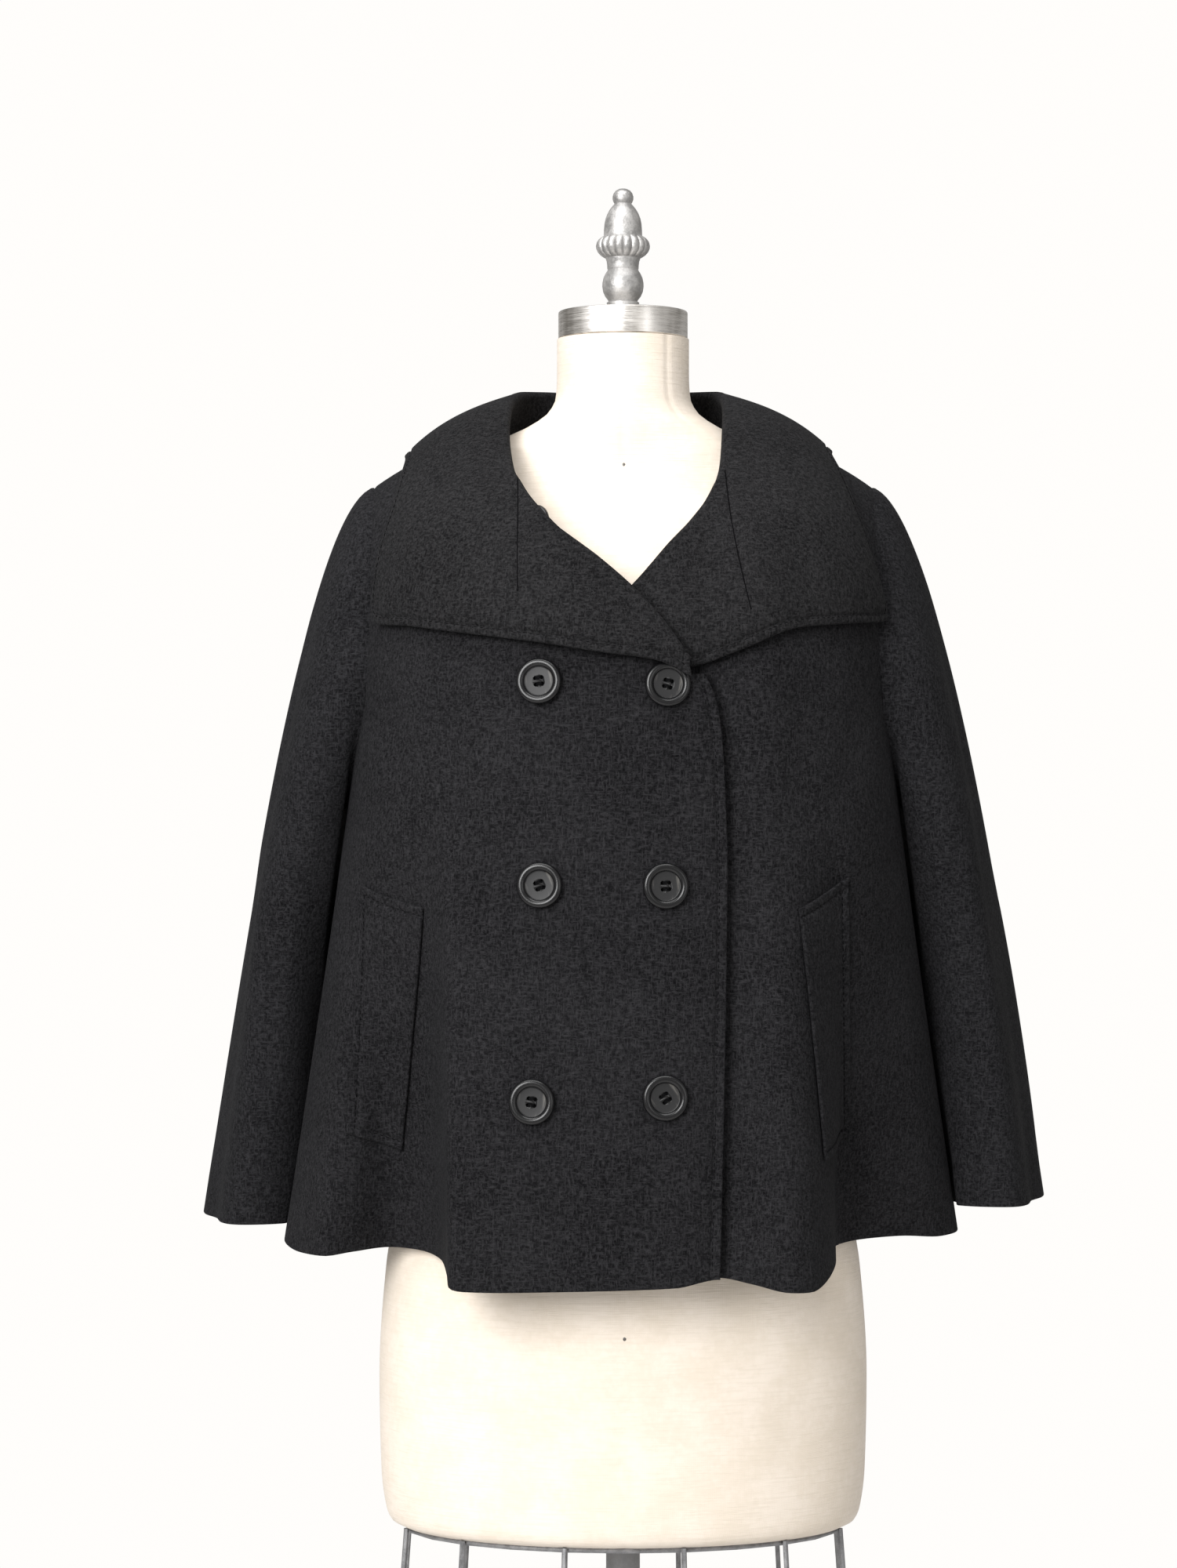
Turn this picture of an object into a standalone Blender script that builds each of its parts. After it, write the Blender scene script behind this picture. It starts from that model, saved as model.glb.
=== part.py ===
"""A short double-breasted wool coat with a wide turned-back collar, on a limbless dress form.

Metres, +Z up, the front towards -Y and the wearer's left towards +X. The origin is the middle
of the base's underside. Each cloth piece is a sheet of points worked out from the coat's
sections, given its thickness by Solidify.
"""
import math

import bmesh
import bpy
import numpy as np
from mathutils import Vector
from mathutils.bvhtree import BVHTree

# Cloth
CLOTH = 0.0025
COLLAR_CLOTH = 0.0036
WELT_CLOTH = 0.0040
SEAM = 0.0003
LYING_GAP = 0.0004
STAND_GAP = 0.0007
WELT_GAP = 0.0008

# The coat's body: a dome over the shoulders, a section at the chest and a fluted hem
CHEST_Z = 1.200
CHEST_HALF = 0.197
CHEST_FRONT = 0.150
CHEST_BACK = 0.128
SECTION_ROUND = 2.3
DOME_ROUND = 1.8
RIDGE_Z = 1.410
SHOULDER_X = 0.184
SHOULDER_Z = 1.364
RIDGE_BEND = 2.9
PLAIN_HEM_Z = 0.800
PLAIN_HEM_HALF = 0.235
PLAIN_HEM_FRONT = 0.160
PLAIN_HEM_BACK = 0.175
FOLD_GROWTH = 1.15

# The under front lies this far inside the upper one, back to nothing past the overlap
OVERLAP_DROP = 0.014
OVERLAP_FLAT_X = 0.050
OVERLAP_END_X = 0.105
OVERLAP_FLAT_Z = 1.290
OVERLAP_END_Z = 1.390

# Hem sections of each half: the angle round the chest, from the centre front (0) to the
# centre back (180), where that line of cloth meets the hem, and the height its fold starts at
# Columns: angle, out, forward, height, fold_start
HEM_LEFT = (
    (0, 0.0000, 0.1680, 0.7925, 1.10),
    (10, 0.0360, 0.1670, 0.7940, 1.10),
    (17.4, 0.0665, 0.1600, 0.7990, 1.10),
    (22, 0.0880, 0.1600, 0.7955, 1.10),
    (27, 0.1120, 0.1675, 0.7910, 1.12),
    (31, 0.1305, 0.1580, 0.7900, 1.12),
    (35, 0.1455, 0.1300, 0.7975, 1.12),
    (39, 0.1515, 0.1000, 0.8040, 1.12),
    (44, 0.1530, 0.0670, 0.8095, 1.12),
    (50, 0.1660, 0.0500, 0.8125, 1.10),
    (60, 0.2020, 0.0350, 0.8145, 1.10),
    (71, 0.2350, 0.0140, 0.8120, 1.12),
    (79, 0.2505, -0.0160, 0.8130, 1.13),
    (85, 0.2400, -0.0420, 0.8150, 1.13),
    (90, 0.2180, -0.0600, 0.8165, 1.13),
    (97, 0.2080, -0.0880, 0.8170, 1.12),
    (105, 0.2120, -0.1220, 0.8165, 1.12),
    (113, 0.2150, -0.1550, 0.8150, 1.10),
    (121, 0.1920, -0.1800, 0.8130, 1.10),
    (131, 0.1600, -0.1680, 0.8130, 1.08),
    (142, 0.1200, -0.1860, 0.8110, 1.08),
    (155, 0.0780, -0.1760, 0.8110, 1.06),
    (168, 0.0360, -0.1940, 0.8100, 1.08),
    (180, 0.0000, -0.1860, 0.8100, 1.08),
)
HEM_RIGHT = (
    (12, 0.0450, 0.1685, 0.7915, 1.10),
    (24, 0.0880, 0.1685, 0.7910, 1.10),
    (31, 0.1130, 0.1675, 0.7915, 1.14),
    (34.5, 0.1225, 0.1600, 0.7925, 1.14),
    (38, 0.1255, 0.1280, 0.7975, 1.14),
    (42, 0.1310, 0.0950, 0.8040, 1.14),
    (47, 0.1480, 0.0700, 0.8085, 1.12),
    (53, 0.1700, 0.0600, 0.8095, 1.10),
    (60, 0.1960, 0.0760, 0.8080, 1.10),
    (66, 0.2145, 0.0830, 0.8060, 1.10),
    (73, 0.2355, 0.0600, 0.8060, 1.12),
    (80, 0.2500, 0.0180, 0.8100, 1.13),
    (85, 0.2410, -0.0200, 0.8125, 1.13),
    (90, 0.2180, -0.0480, 0.8150, 1.13),
    (97, 0.2070, -0.0800, 0.8160, 1.12),
    (105, 0.2110, -0.1150, 0.8160, 1.12),
    (113, 0.2160, -0.1500, 0.8150, 1.10),
    (121, 0.1960, -0.1780, 0.8130, 1.10),
    (131, 0.1580, -0.1720, 0.8120, 1.08),
    (143, 0.1180, -0.1880, 0.8110, 1.08),
    (156, 0.0720, -0.1780, 0.8110, 1.06),
    (168, 0.0340, -0.1900, 0.8100, 1.08),
    (180, 0.0000, -0.1860, 0.8100, 1.08),
)

# The neckline of one half, from the front corner across the middle (out below 0) to the
# centre back. Rows 0 to NECK_SHOULDER lie on the front, the rest on the back.
# Columns: out, y, height
NECKLINE = (
    (-0.0440, -0.1460, 1.2220),
    (-0.0220, -0.1470, 1.2335),
    (0.0020, -0.1460, 1.2480),
    (0.0280, -0.1410, 1.2680),
    (0.0550, -0.1300, 1.2950),
    (0.0710, -0.1130, 1.3200),
    (0.0790, -0.1000, 1.3360),
    (0.0860, -0.0850, 1.3540),
    (0.0925, -0.0480, 1.3850),
    (0.0950, 0.0000, 1.4030),
    (0.0880, 0.0320, 1.3960),
    (0.0640, 0.0560, 1.3880),
    (0.0330, 0.0660, 1.3860),
    (0.0000, 0.0675, 1.3850),
)
NECK_SHOULDER = 9

# The armhole from the shoulder point to the underarm, as chart places on one half's front
# Columns: angle, height
ARMHOLE = (
    (67.55, 1.3640),
    (67.55, 1.3300),
    (67.60, 1.2850),
    (68.50, 1.2420),
    (71.50, 1.2000),
    (76.50, 1.1640),
    (83.00, 1.1400),
    (90.00, 1.1320),
)

# The front edge past the centre: it stands at one girth angle and rounds off to the neckline
FRONT_EDGE_ANGLE = 17.4
FRONT_CORNER = (0.0580, 1.2195)
FRONT_EDGE_ROUNDING = 0.030
PANEL_EASE = 0.150
ARMHOLE_EASE = 0.130
ARMHOLE_STEPS = 9

# Collar halves: crest (roll line) and outer edge, row by row with the neckline's rows
# Columns: crest_out, crest_y, crest_z, edge_out, edge_y, edge_z, edge_lift
COLLAR_RIGHT = (
    (-0.0444, -0.1535, 1.2335, -0.0448, -0.1500, 1.2190, 0.0062),
    (-0.0238, -0.1470, 1.2627, -0.0200, -0.1480, 1.2300, 0.0066),
    (-0.0055, -0.1415, 1.2836, 0.0180, -0.1450, 1.2350, 0.0062),
    (0.0187, -0.1350, 1.3052, 0.0640, -0.1420, 1.2437, 0.0045),
    (0.0527, -0.1220, 1.3315, 0.1160, -0.1250, 1.2512, 0.0036),
    (0.0703, -0.1060, 1.3520, 0.1500, -0.1050, 1.2568, 0.0032),
    (0.0760, -0.0960, 1.3620, 0.1800, -0.0810, 1.2640, 0.0032),
    (0.0815, -0.0850, 1.3728, 0.1765, -0.0690, 1.2930, 0.0032),
    (0.0850, -0.0500, 1.4020, 0.1630, -0.0550, 1.3380, 0.0030),
    (0.0835, -0.0120, 1.4270, 0.1565, -0.0150, 1.3800, 0.0028),
    (0.0735, 0.0300, 1.4380, 0.1500, 0.0330, 1.3740, 0.0028),
    (0.0500, 0.0590, 1.4405, 0.1250, 0.0700, 1.3600, 0.0030),
    (0.0250, 0.0700, 1.4405, 0.0700, 0.0850, 1.3520, 0.0035),
    (0.0000, 0.0730, 1.4405, 0.0000, 0.0900, 1.3500, 0.0040),
)
COLLAR_LEFT = (
    (-0.0350, -0.1480, 1.2400, -0.0300, -0.1500, 1.2240, 0.0020),
    (-0.0130, -0.1440, 1.2650, 0.0100, -0.1480, 1.2235, 0.0020),
    (0.0085, -0.1390, 1.2870, 0.0450, -0.1460, 1.2265, 0.0024),
    (0.0321, -0.1330, 1.3145, 0.0800, -0.1380, 1.2385, 0.0034),
    (0.0500, -0.1200, 1.3345, 0.1180, -0.1220, 1.2540, 0.0034),
    (0.0600, -0.1080, 1.3490, 0.1550, -0.1020, 1.2590, 0.0032),
    (0.0655, -0.0960, 1.3610, 0.1970, -0.0640, 1.2680, 0.0032),
    (0.0696, -0.0840, 1.3740, 0.1860, -0.0640, 1.2960, 0.0032),
    (0.0725, -0.0500, 1.4050, 0.1630, -0.0550, 1.3330, 0.0030),
    (0.0740, -0.0120, 1.4280, 0.1500, -0.0150, 1.3840, 0.0028),
    (0.0690, 0.0300, 1.4380, 0.1470, 0.0330, 1.3760, 0.0028),
    (0.0480, 0.0590, 1.4405, 0.1240, 0.0700, 1.3600, 0.0030),
    (0.0250, 0.0700, 1.4405, 0.0700, 0.0850, 1.3520, 0.0035),
    (0.0000, 0.0730, 1.4405, 0.0000, 0.0900, 1.3500, 0.0040),
)
COLLAR_STATIONS = 26
COLLAR_TURN = 0.0007
COLLAR_FALL_STEPS = (0.12, 0.32, 0.56, 0.80, 1.0)
COLLAR_BULGE = 0.004
COLLAR_OPENNESS = 0.020
COLLAR_FULL_FALL = 0.100
COLLAR_BACK_STEP = 0.006

# Sleeves: cuff centre, half sizes and height, and how the cloth leaves the armhole
# Columns: side, cuff_x, cuff_y, half_x, half_y, cuff_z
SLEEVES = (
    ("right", 0.2690, 0.0760, 0.0490, 0.0860, 0.8200),
    ("left", 0.2705, 0.0760, 0.0500, 0.0860, 0.8330),
)
SLEEVE_AROUND = 26
SLEEVE_ROWS = 11
SLEEVE_CLEAR = 0.0040
SLEEVE_LEDGE = 0.002
SLEEVE_SEAM = 0.0004
SLEEVE_SAG = 0.022
SLEEVE_HANDLE = (0.050, 0.090)
SLEEVE_HANG = (0.200, 0.140)
SLEEVE_BOW = 0.033
SLEEVE_KEEPS_Y = 0.25
# Columns: turn, width, depth
SLEEVE_FOLDS = (
    (0.09, 0.05, -0.007),
    (0.19, 0.05, 0.005),
    (0.80, 0.05, -0.008),
    (0.92, 0.05, 0.004),
)

# Welts: corners as girth angle and height, top inner, top outer, bottom outer, bottom inner
# Columns: side, top_in, top_in_z, top_out, top_out_z, low_out, low_out_z, low_in, low_in_z
WELTS = (
    ("right", 42.0, 1.0570, 62.5, 1.0730, 63.0, 0.8940, 49.5, 0.8820),
    ("left", 32.0, 1.0570, 47.5, 1.0790, 48.5, 0.8930, 34.5, 0.8790),
)
WELT_ACROSS = 8
WELT_DOWN = 8
WELT_PROBE = 0.020

# Buttons: place of each on the right front, seen from the front
BUTTON_RADIUS = 0.0162
BUTTON_THICK = 0.0050
BUTTON_HOLE = 0.0014
BUTTON_HOLE_CIRCLE = 0.0033
BUTTON_SIDES = 18
# Columns: share of the radius, share of the thickness
BUTTON_RIM = (
    (0.86, 0.00),
    (1.00, 0.40),
    (0.95, 0.85),
    (0.82, 1.00),
    (0.62, 0.56),
)
BUTTON_REACH = 0.9
BUTTON_ANGLES = 28.0
# Columns: x, z
BUTTONS = (
    (-0.0600, 1.2170),
    (0.0300, 1.2150),
    (-0.0595, 1.0740),
    (0.0285, 1.0735),
    (-0.0650, 0.9230),
    (0.0280, 0.9260),
)
INNER_BUTTON_ROW = 4.95
INNER_BUTTON_RADIUS = 0.0135
INNER_BUTTON_DROP = 0.016
INNER_BUTTON_OFF = 0.0022

# Dress form: sections from the neck down to the rounded underside
# Columns: height, half_width, front, back
FORM_SHOULDERS = (1.340, 1.408)
FORM_SHOULDER_ROUND = 1.7
FORM_COVERED = 0.95
FORM_BARE = 0.55
FORM_NECK_FREE = 0.020
FORM_CLEAR = 0.0046
FORM_SECTIONS = (
    (1.4734, 0.0488, 0.0488, 0.0488),
    (1.4470, 0.0488, 0.0490, 0.0490),
    (1.4300, 0.0498, 0.0495, 0.0495),
    (1.4190, 0.0555, 0.0495, 0.0495),
    (1.4105, 0.0670, 0.0500, 0.0500),
    (1.4045, 0.0790, 0.0505, 0.0500),
    (1.3985, 0.0955, 0.0505, 0.0505),
    (1.3900, 0.1190, 0.0510, 0.0505),
    (1.3790, 0.1420, 0.0520, 0.0510),
    (1.3660, 0.1620, 0.0560, 0.0550),
    (1.3520, 0.1730, 0.0630, 0.0610),
    (1.3300, 0.1745, 0.0760, 0.0710),
    (1.2900, 0.1680, 0.0980, 0.0860),
    (1.2400, 0.1560, 0.1240, 0.1010),
    (1.1900, 0.1450, 0.1220, 0.0980),
    (1.1200, 0.1300, 0.1050, 0.0900),
    (1.0300, 0.1200, 0.0930, 0.0850),
    (0.9500, 0.1350, 0.1000, 0.0980),
    (0.8700, 0.1570, 0.1080, 0.1150),
    (0.7900, 0.1750, 0.1140, 0.1240),
    (0.7100, 0.1800, 0.1160, 0.1230),
    (0.6400, 0.1785, 0.1150, 0.1180),
    (0.6150, 0.1755, 0.1130, 0.1150),
    (0.6040, 0.1715, 0.1095, 0.1115),
    (0.6000, 0.1640, 0.1025, 0.1045),
)
FORM_AROUND = 28

CAP_RADIUS = 0.0478
CAP_LOW = 1.4737
CAP_HIGH = 1.4940
FINIAL_LOW = CAP_HIGH + SEAM
# Columns: radius, height_above_cap
FINIAL = (
    (0.0120, 0.0000),
    (0.0100, 0.0030),
    (0.0145, 0.0070),
    (0.0157, 0.0118),
    (0.0142, 0.0175),
    (0.0098, 0.0216),
    (0.0130, 0.0270),
    (0.0198, 0.0345),
    (0.0206, 0.0400),
    (0.0190, 0.0460),
    (0.0143, 0.0515),
    (0.0118, 0.0640),
    (0.0070, 0.0725),
    (0.0060, 0.0742),
    (0.0075, 0.0785),
    (0.0052, 0.0838),
)
FINIAL_TIP = 0.0856
FINIAL_AROUND = 24
FINIAL_FLUTED = (7, 8, 9)
FINIAL_FLUTE = 0.0012

# Cage, pole and base under the hips
WIRE_RADIUS = 0.0020
WIRE_COUNT = 12
CAGE_TOP_Z = 0.5997
CAGE_LOW_Z = 0.3300
CAGE_TOP = (0.1600, 0.0990)
CAGE_LOW = (0.1800, 0.1270)
POLE_RADIUS = 0.0125
BASE_RADIUS = 0.1900
# Columns: radius, height
BASE = (
    (0.1900, 0.0000),
    (0.1900, 0.0080),
    (0.1820, 0.0150),
    (0.0600, 0.0230),
    (0.0320, 0.0300),
    (0.0240, 0.0700),
    (0.0200, 0.0740),
)
BASE_AROUND = 36

SIDES = {"left": 1.0, "right": -1.0}


def material(name, colour, roughness, metallic=0.0):
    """A plain material of the part's colour"""
    made = bpy.data.materials.new(name)
    made.use_nodes = True
    shader = made.node_tree.nodes["Principled BSDF"]
    shader.inputs["Base Color"].default_value = (*colour, 1.0)
    shader.inputs["Roughness"].default_value = roughness
    shader.inputs["Metallic"].default_value = metallic
    return made


def fair(keys, values):
    """A smooth curve through the rows of a table, without overshoot between them"""
    keys = np.asarray(keys, float)
    values = np.asarray(values, float)
    steps = np.diff(keys)[:, None]
    slopes = np.diff(values, axis=0) / steps
    tangents = np.zeros_like(values)
    tangents[0] = slopes[0]
    tangents[-1] = slopes[-1]
    before, after = slopes[:-1], slopes[1:]
    same = before * after > 0
    weight_a = 2 * steps[1:] + steps[:-1]
    weight_b = steps[1:] + 2 * steps[:-1]
    safe_before = np.where(same, before, 1.0)
    safe_after = np.where(same, after, 1.0)
    mean = (weight_a + weight_b) / (weight_a / safe_before + weight_b / safe_after)
    tangents[1:-1] = np.where(same, mean, 0.0)

    def read(key):
        i = int(np.clip(np.searchsorted(keys, key) - 1, 0, len(keys) - 2))
        step = keys[i + 1] - keys[i]
        t = min(max((key - keys[i]) / step, 0.0), 1.0)
        return ((2 * t**3 - 3 * t**2 + 1) * values[i] + (t**3 - 2 * t**2 + t) * step * tangents[i]
                + (3 * t**2 - 2 * t**3) * values[i + 1] + (t**3 - t**2) * step * tangents[i + 1])
    return read


def ease(amount):
    """0 to 1 with soft ends"""
    amount = min(max(amount, 0.0), 1.0)
    return amount * amount * (3 - 2 * amount)


def along(points, fractions):
    """The places at given fractions of a line's length"""
    points = np.asarray(points, float)
    lengths = np.concatenate(([0.0], np.cumsum(np.linalg.norm(np.diff(points, axis=0), axis=1))))
    wanted = np.asarray(fractions) * lengths[-1]
    return np.stack([np.interp(wanted, lengths, points[:, k]) for k in range(points.shape[1])], 1)


# The coat's body surface

HEM_LINE = fair([-row[0] for row in HEM_RIGHT[::-1]] + [row[0] for row in HEM_LEFT],
                [(-row[1], *row[2:]) for row in HEM_RIGHT[::-1]] + [row[1:] for row in HEM_LEFT])


def ridge(x):
    """Height of the shoulder line"""
    return RIDGE_Z - (RIDGE_Z - SHOULDER_Z) * (abs(x) / SHOULDER_X) ** RIDGE_BEND


def girth(angle):
    """The section's unit reach across and forward at a girth angle"""
    turn = math.radians(angle)
    bend = 2 / SECTION_ROUND
    across = math.copysign(abs(math.sin(turn)) ** bend, math.sin(turn))
    forward = math.copysign(abs(math.cos(turn)) ** bend, math.cos(turn))
    return across, forward


def girth_angle(x):
    """The girth angle of a place on the dome's front, from how far out it is"""
    turn = math.degrees(math.asin(min(abs(x) / CHEST_HALF, 1.0) ** (SECTION_ROUND / 2)))
    return math.copysign(turn, x)


def skin(angle, z):
    """The coat's outer face at a girth angle and a height"""
    across, forward = girth(angle)
    depth = CHEST_FRONT if forward >= 0 else CHEST_BACK
    if z >= CHEST_Z:
        x = CHEST_HALF * across
        up = min((z - CHEST_Z) / (ridge(x) - CHEST_Z), 1.0)
        out = (1 - up**DOME_ROUND) ** (1 / DOME_ROUND)
        return np.array((x, -depth * forward * out, z))
    hem_depth = PLAIN_HEM_FRONT if forward >= 0 else PLAIN_HEM_BACK
    down = (CHEST_Z - z) / (CHEST_Z - PLAIN_HEM_Z)
    x = (CHEST_HALF + (PLAIN_HEM_HALF - CHEST_HALF) * down) * across
    y = -(depth + (hem_depth - depth) * down) * forward
    hem_x, hem_forward, hem_z, start = HEM_LINE(angle)
    grown = max(0.0, (start - z) / (start - hem_z)) ** FOLD_GROWTH
    x += grown * (hem_x - PLAIN_HEM_HALF * across)
    y += grown * (hem_depth * forward - hem_forward)
    return np.array((x, y, z))


def drop(x, z):
    """How far the under front and its collar half lie inside the upper ones"""
    across = ease((OVERLAP_END_X - x) / (OVERLAP_END_X - OVERLAP_FLAT_X))
    upward = ease((OVERLAP_END_Z - z) / (OVERLAP_END_Z - OVERLAP_FLAT_Z))
    return OVERLAP_DROP * across * upward


def skin_under(angle, z):
    """The outer face of the under front"""
    place = skin(angle, z)
    if abs(angle) < 90:
        place[1] += drop(place[0], z)
    return place


def dome_reach(direction):
    """How far the dome's face lies from the chest's middle in a direction"""
    low, high = 0.0, 0.5
    for _ in range(40):
        reach = (low + high) / 2
        x, y, up = direction * reach
        depth = CHEST_FRONT if y < 0 else CHEST_BACK
        inside = abs(x) < CHEST_HALF
        if inside:
            here = depth * (1 - (abs(x) / CHEST_HALF) ** SECTION_ROUND) ** (1 / SECTION_ROUND)
            rise = up / (ridge(x) - CHEST_Z)
            inside = (abs(y) / here) ** DOME_ROUND + rise**DOME_ROUND < 1
        if inside:
            low = reach
        else:
            high = reach
    return low


CHEST_MIDDLE = np.array((0.0, 0.0, CHEST_Z))


def on_dome(guess, lift=0.0):
    """The place on the dome's face in line with a guess, lifted off it"""
    direction = np.asarray(guess, float) - CHEST_MIDDLE
    direction /= np.linalg.norm(direction)
    return CHEST_MIDDLE + direction * (dome_reach(direction) + lift)


NECK_ROWS = (0, 1, 2, 3, 4, 5, 6, 7, 7.5, 8, 8.5, 9, 9.5, 10, 11, 12, 13)
NECK_PLACES = np.array([on_dome(fair(range(len(NECKLINE)), NECKLINE)(row)) for row in NECK_ROWS])


def neck_place(row):
    """The neckline's place at one of its rows, or straight between them"""
    return np.array([np.interp(row, NECK_ROWS, NECK_PLACES[:, k]) for k in range(3)])


# Sheets of cloth

def sheet(name, grid, inward, outward, cloth, wrap=False):
    """A cloth piece: the grid is one face of it, and Solidify adds the other inward or outward"""
    columns, rows = len(grid), len(grid[0])
    points = [tuple(place) for column in grid for place in column]
    faces = []
    for i in range(columns if wrap else columns - 1):
        for j in range(rows - 1):
            a = i * rows + j
            b = (i + 1) % columns * rows + j
            c, d = b + 1, a + 1
            across = np.linalg.norm(np.subtract(points[a], points[c]))
            other = np.linalg.norm(np.subtract(points[b], points[d]))
            faces += [(a, b, c), (a, c, d)] if across <= other else [(a, b, d), (b, c, d)]
    probe = grid[0 if wrap else columns // 2]
    beside = grid[1 if wrap else columns // 2 + 1]
    middle = rows // 2 if wrap else rows - 2
    facing = np.cross(beside[middle] - probe[middle], probe[middle + 1] - probe[middle])
    if np.dot(facing, probe[middle] - CHEST_MIDDLE) < 0:
        faces = [face[::-1] for face in faces]
    mesh = bpy.data.meshes.new(name)
    mesh.from_pydata(points, [], faces)
    mesh.materials.append(cloth)
    mesh.shade_smooth()
    piece = bpy.data.objects.new(name, mesh)
    bpy.context.collection.objects.link(piece)
    wall = piece.modifiers.new("Cloth", "SOLIDIFY")
    wall.thickness = inward + outward
    wall.offset = 1.0 if outward else -1.0
    wall.use_even_offset = False
    return piece


def panel_line(face, top_angle, top_z, foot_angle, ease_length, square):
    """One line of a panel from its top edge to the hem, as places along it.

    Where the top edge is steep the line leaves it squarely, elsewhere it runs on from it.
    """
    foot_z = HEM_LINE(foot_angle)[2]
    fine = 90
    end = math.sqrt((top_z - foot_z) / ease_length) if square else (top_z - foot_z) / ease_length
    points = []
    for k in range(fine + 1):
        z = top_z + (foot_z - top_z) * (k / fine) ** 2
        fallen = math.sqrt((top_z - z) / ease_length) if square else (top_z - z) / ease_length
        lean = (math.exp(-fallen) - math.exp(-end)) / (1 - math.exp(-end))
        points.append(face(foot_angle + (top_angle - foot_angle) * lean, z))
    return along(points, PANEL_FRACTIONS)


def open_shoulder_seam(line, away):
    """Sets a line's first place back from the shoulder seam, so that the wall's inner edge clears"""
    fall = ridge(line[1][0]) - line[1][2]
    slope = fall / math.hypot(fall, line[1][1])
    line[0][1] = away * (SEAM / 2 + CLOTH * slope)
    line[1][1] += away * SEAM


def between(first, last, count):
    return [first + (last - first) * k / count for k in range(count + 1)]


PANEL_ROWS = 13
PANEL_FRACTIONS = [0.0, 0.004] + [0.004 + 0.996 * (k / (PANEL_ROWS - 2)) ** 1.45
                                  for k in range(1, PANEL_ROWS - 1)]
ARMHOLE_LINE = fair(range(len(ARMHOLE)), ARMHOLE)
NECK_FOOT_END = 32.0
NECK_FOOT = fair((0, 3, 6, NECK_SHOULDER), ((-13.0,), (8.0,), (24.0,), (NECK_FOOT_END,)))
NECK_FOOT_BACK = fair((NECK_SHOULDER, 11, 13), ((NECK_FOOT_END,), (17.0,), (0.0,)))
NECK_STEEP = (5, 10)
SHOULDER_STEPS = 8
SHOULDER_FOOT_END = 44.0
ARMHOLE_FOOT_BEND = 1.15


def top_edge(side, back):
    """A half panel's lines from the middle out: where each starts, meets the hem, and its ease"""
    edge = []
    if back:
        for row in reversed([row for row in NECK_ROWS if row > NECK_SHOULDER]):
            out, _, z = neck_place(row)
            edge.append((180 - girth_angle(out), z, 180 - NECK_FOOT_BACK(row)[0], PANEL_EASE,
                         row <= NECK_STEEP[1]))
    else:
        edge.append((-girth_angle(FRONT_CORNER[0]), FRONT_CORNER[1], -FRONT_EDGE_ANGLE,
                     FRONT_EDGE_ROUNDING, False))
        for row in [row for row in NECK_ROWS if row < NECK_SHOULDER]:
            out, _, z = neck_place(row)
            edge.append((girth_angle(out), z, NECK_FOOT(row)[0], PANEL_EASE,
                         row >= NECK_STEEP[0]))
    outer = []
    for k in range(SHOULDER_STEPS):
        x = NECKLINE[NECK_SHOULDER][0]
        x += (SHOULDER_X - x) * k / SHOULDER_STEPS
        foot = NECK_FOOT_END + (SHOULDER_FOOT_END - NECK_FOOT_END) * k / SHOULDER_STEPS
        outer.append((girth_angle(x), ridge(x), foot, PANEL_EASE, True))
    for k in range(ARMHOLE_STEPS + 1):
        angle, z = ARMHOLE_LINE(k * (len(ARMHOLE) - 1) / ARMHOLE_STEPS)
        foot = SHOULDER_FOOT_END
        foot += (90 - SHOULDER_FOOT_END) * (k / ARMHOLE_STEPS) ** ARMHOLE_FOOT_BEND
        outer.append((angle, z, foot, ARMHOLE_EASE, True))
    for angle, z, foot, *rest in outer:
        edge.append((180 - angle if back else angle, z, 180 - foot if back else foot, *rest))
    return [(side * angle, z, side * foot, *rest) for angle, z, foot, *rest in edge]


def build_front(name, side, face, cloth):
    lines = []
    edge = top_edge(side, back=False)
    for angle, z, *way in edge:
        line = panel_line(face, angle, z, *way)
        if z >= ridge(line[0][0]) - 1e-6:
            open_shoulder_seam(line, -1)
        lines.append(line)
    for place in lines[-1]:
        place[1] -= SEAM / 2
    return sheet(name, lines, CLOTH, 0.0, cloth)


def build_back(cloth):
    halves = []
    for side in (1, -1):
        lines = []
        for angle, z, *way in top_edge(side, back=True):
            line = panel_line(skin, angle, z, *way)
            if z >= ridge(line[0][0]) - 1e-6:
                open_shoulder_seam(line, 1)
            lines.append(line)
        for place in lines[-1]:
            place[1] += SEAM / 2
        halves.append(lines)
    lines = halves[0][::-1] + halves[1][1:]
    return sheet("coat_back", lines, CLOTH, 0.0, cloth)


# Sleeves

def armhole_height(angle):
    """Height of the armhole's edge at a girth angle"""
    lower = ARMHOLE[2:]
    if angle < lower[0][0]:
        return SHOULDER_Z
    return float(np.interp(angle, [row[0] for row in lower], [row[1] for row in lower]))


def clear_of_body(place, side):
    """Moves a sleeve's point out until the body's side is clear of it"""
    z = place[2]
    below = [angle for angle in range(40, 141, 2)
             if z <= armhole_height(min(angle, 180 - angle)) + SLEEVE_CLEAR]
    rows = sorted((skin(side * angle, z)[1], abs(skin(side * angle, z)[0]), angle) for angle in below)
    ahead = [row[0] for row in rows if row[2] <= 90]
    behind = [row[0] for row in rows if row[2] > 90]
    over_opening = max(ahead) < place[1] < min(behind) and z > ARMHOLE[-1][1]
    if over_opening:
        return place
    least = float(np.interp(place[1], [row[0] for row in rows], [row[1] for row in rows]))
    return np.array((side * max(abs(place[0]), least + SLEEVE_CLEAR), place[1], z))


def bezier(a, b, c, d, t):
    return (1 - t)**3 * a + 3 * (1 - t)**2 * t * b + 3 * (1 - t) * t**2 * c + t**3 * d


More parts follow.
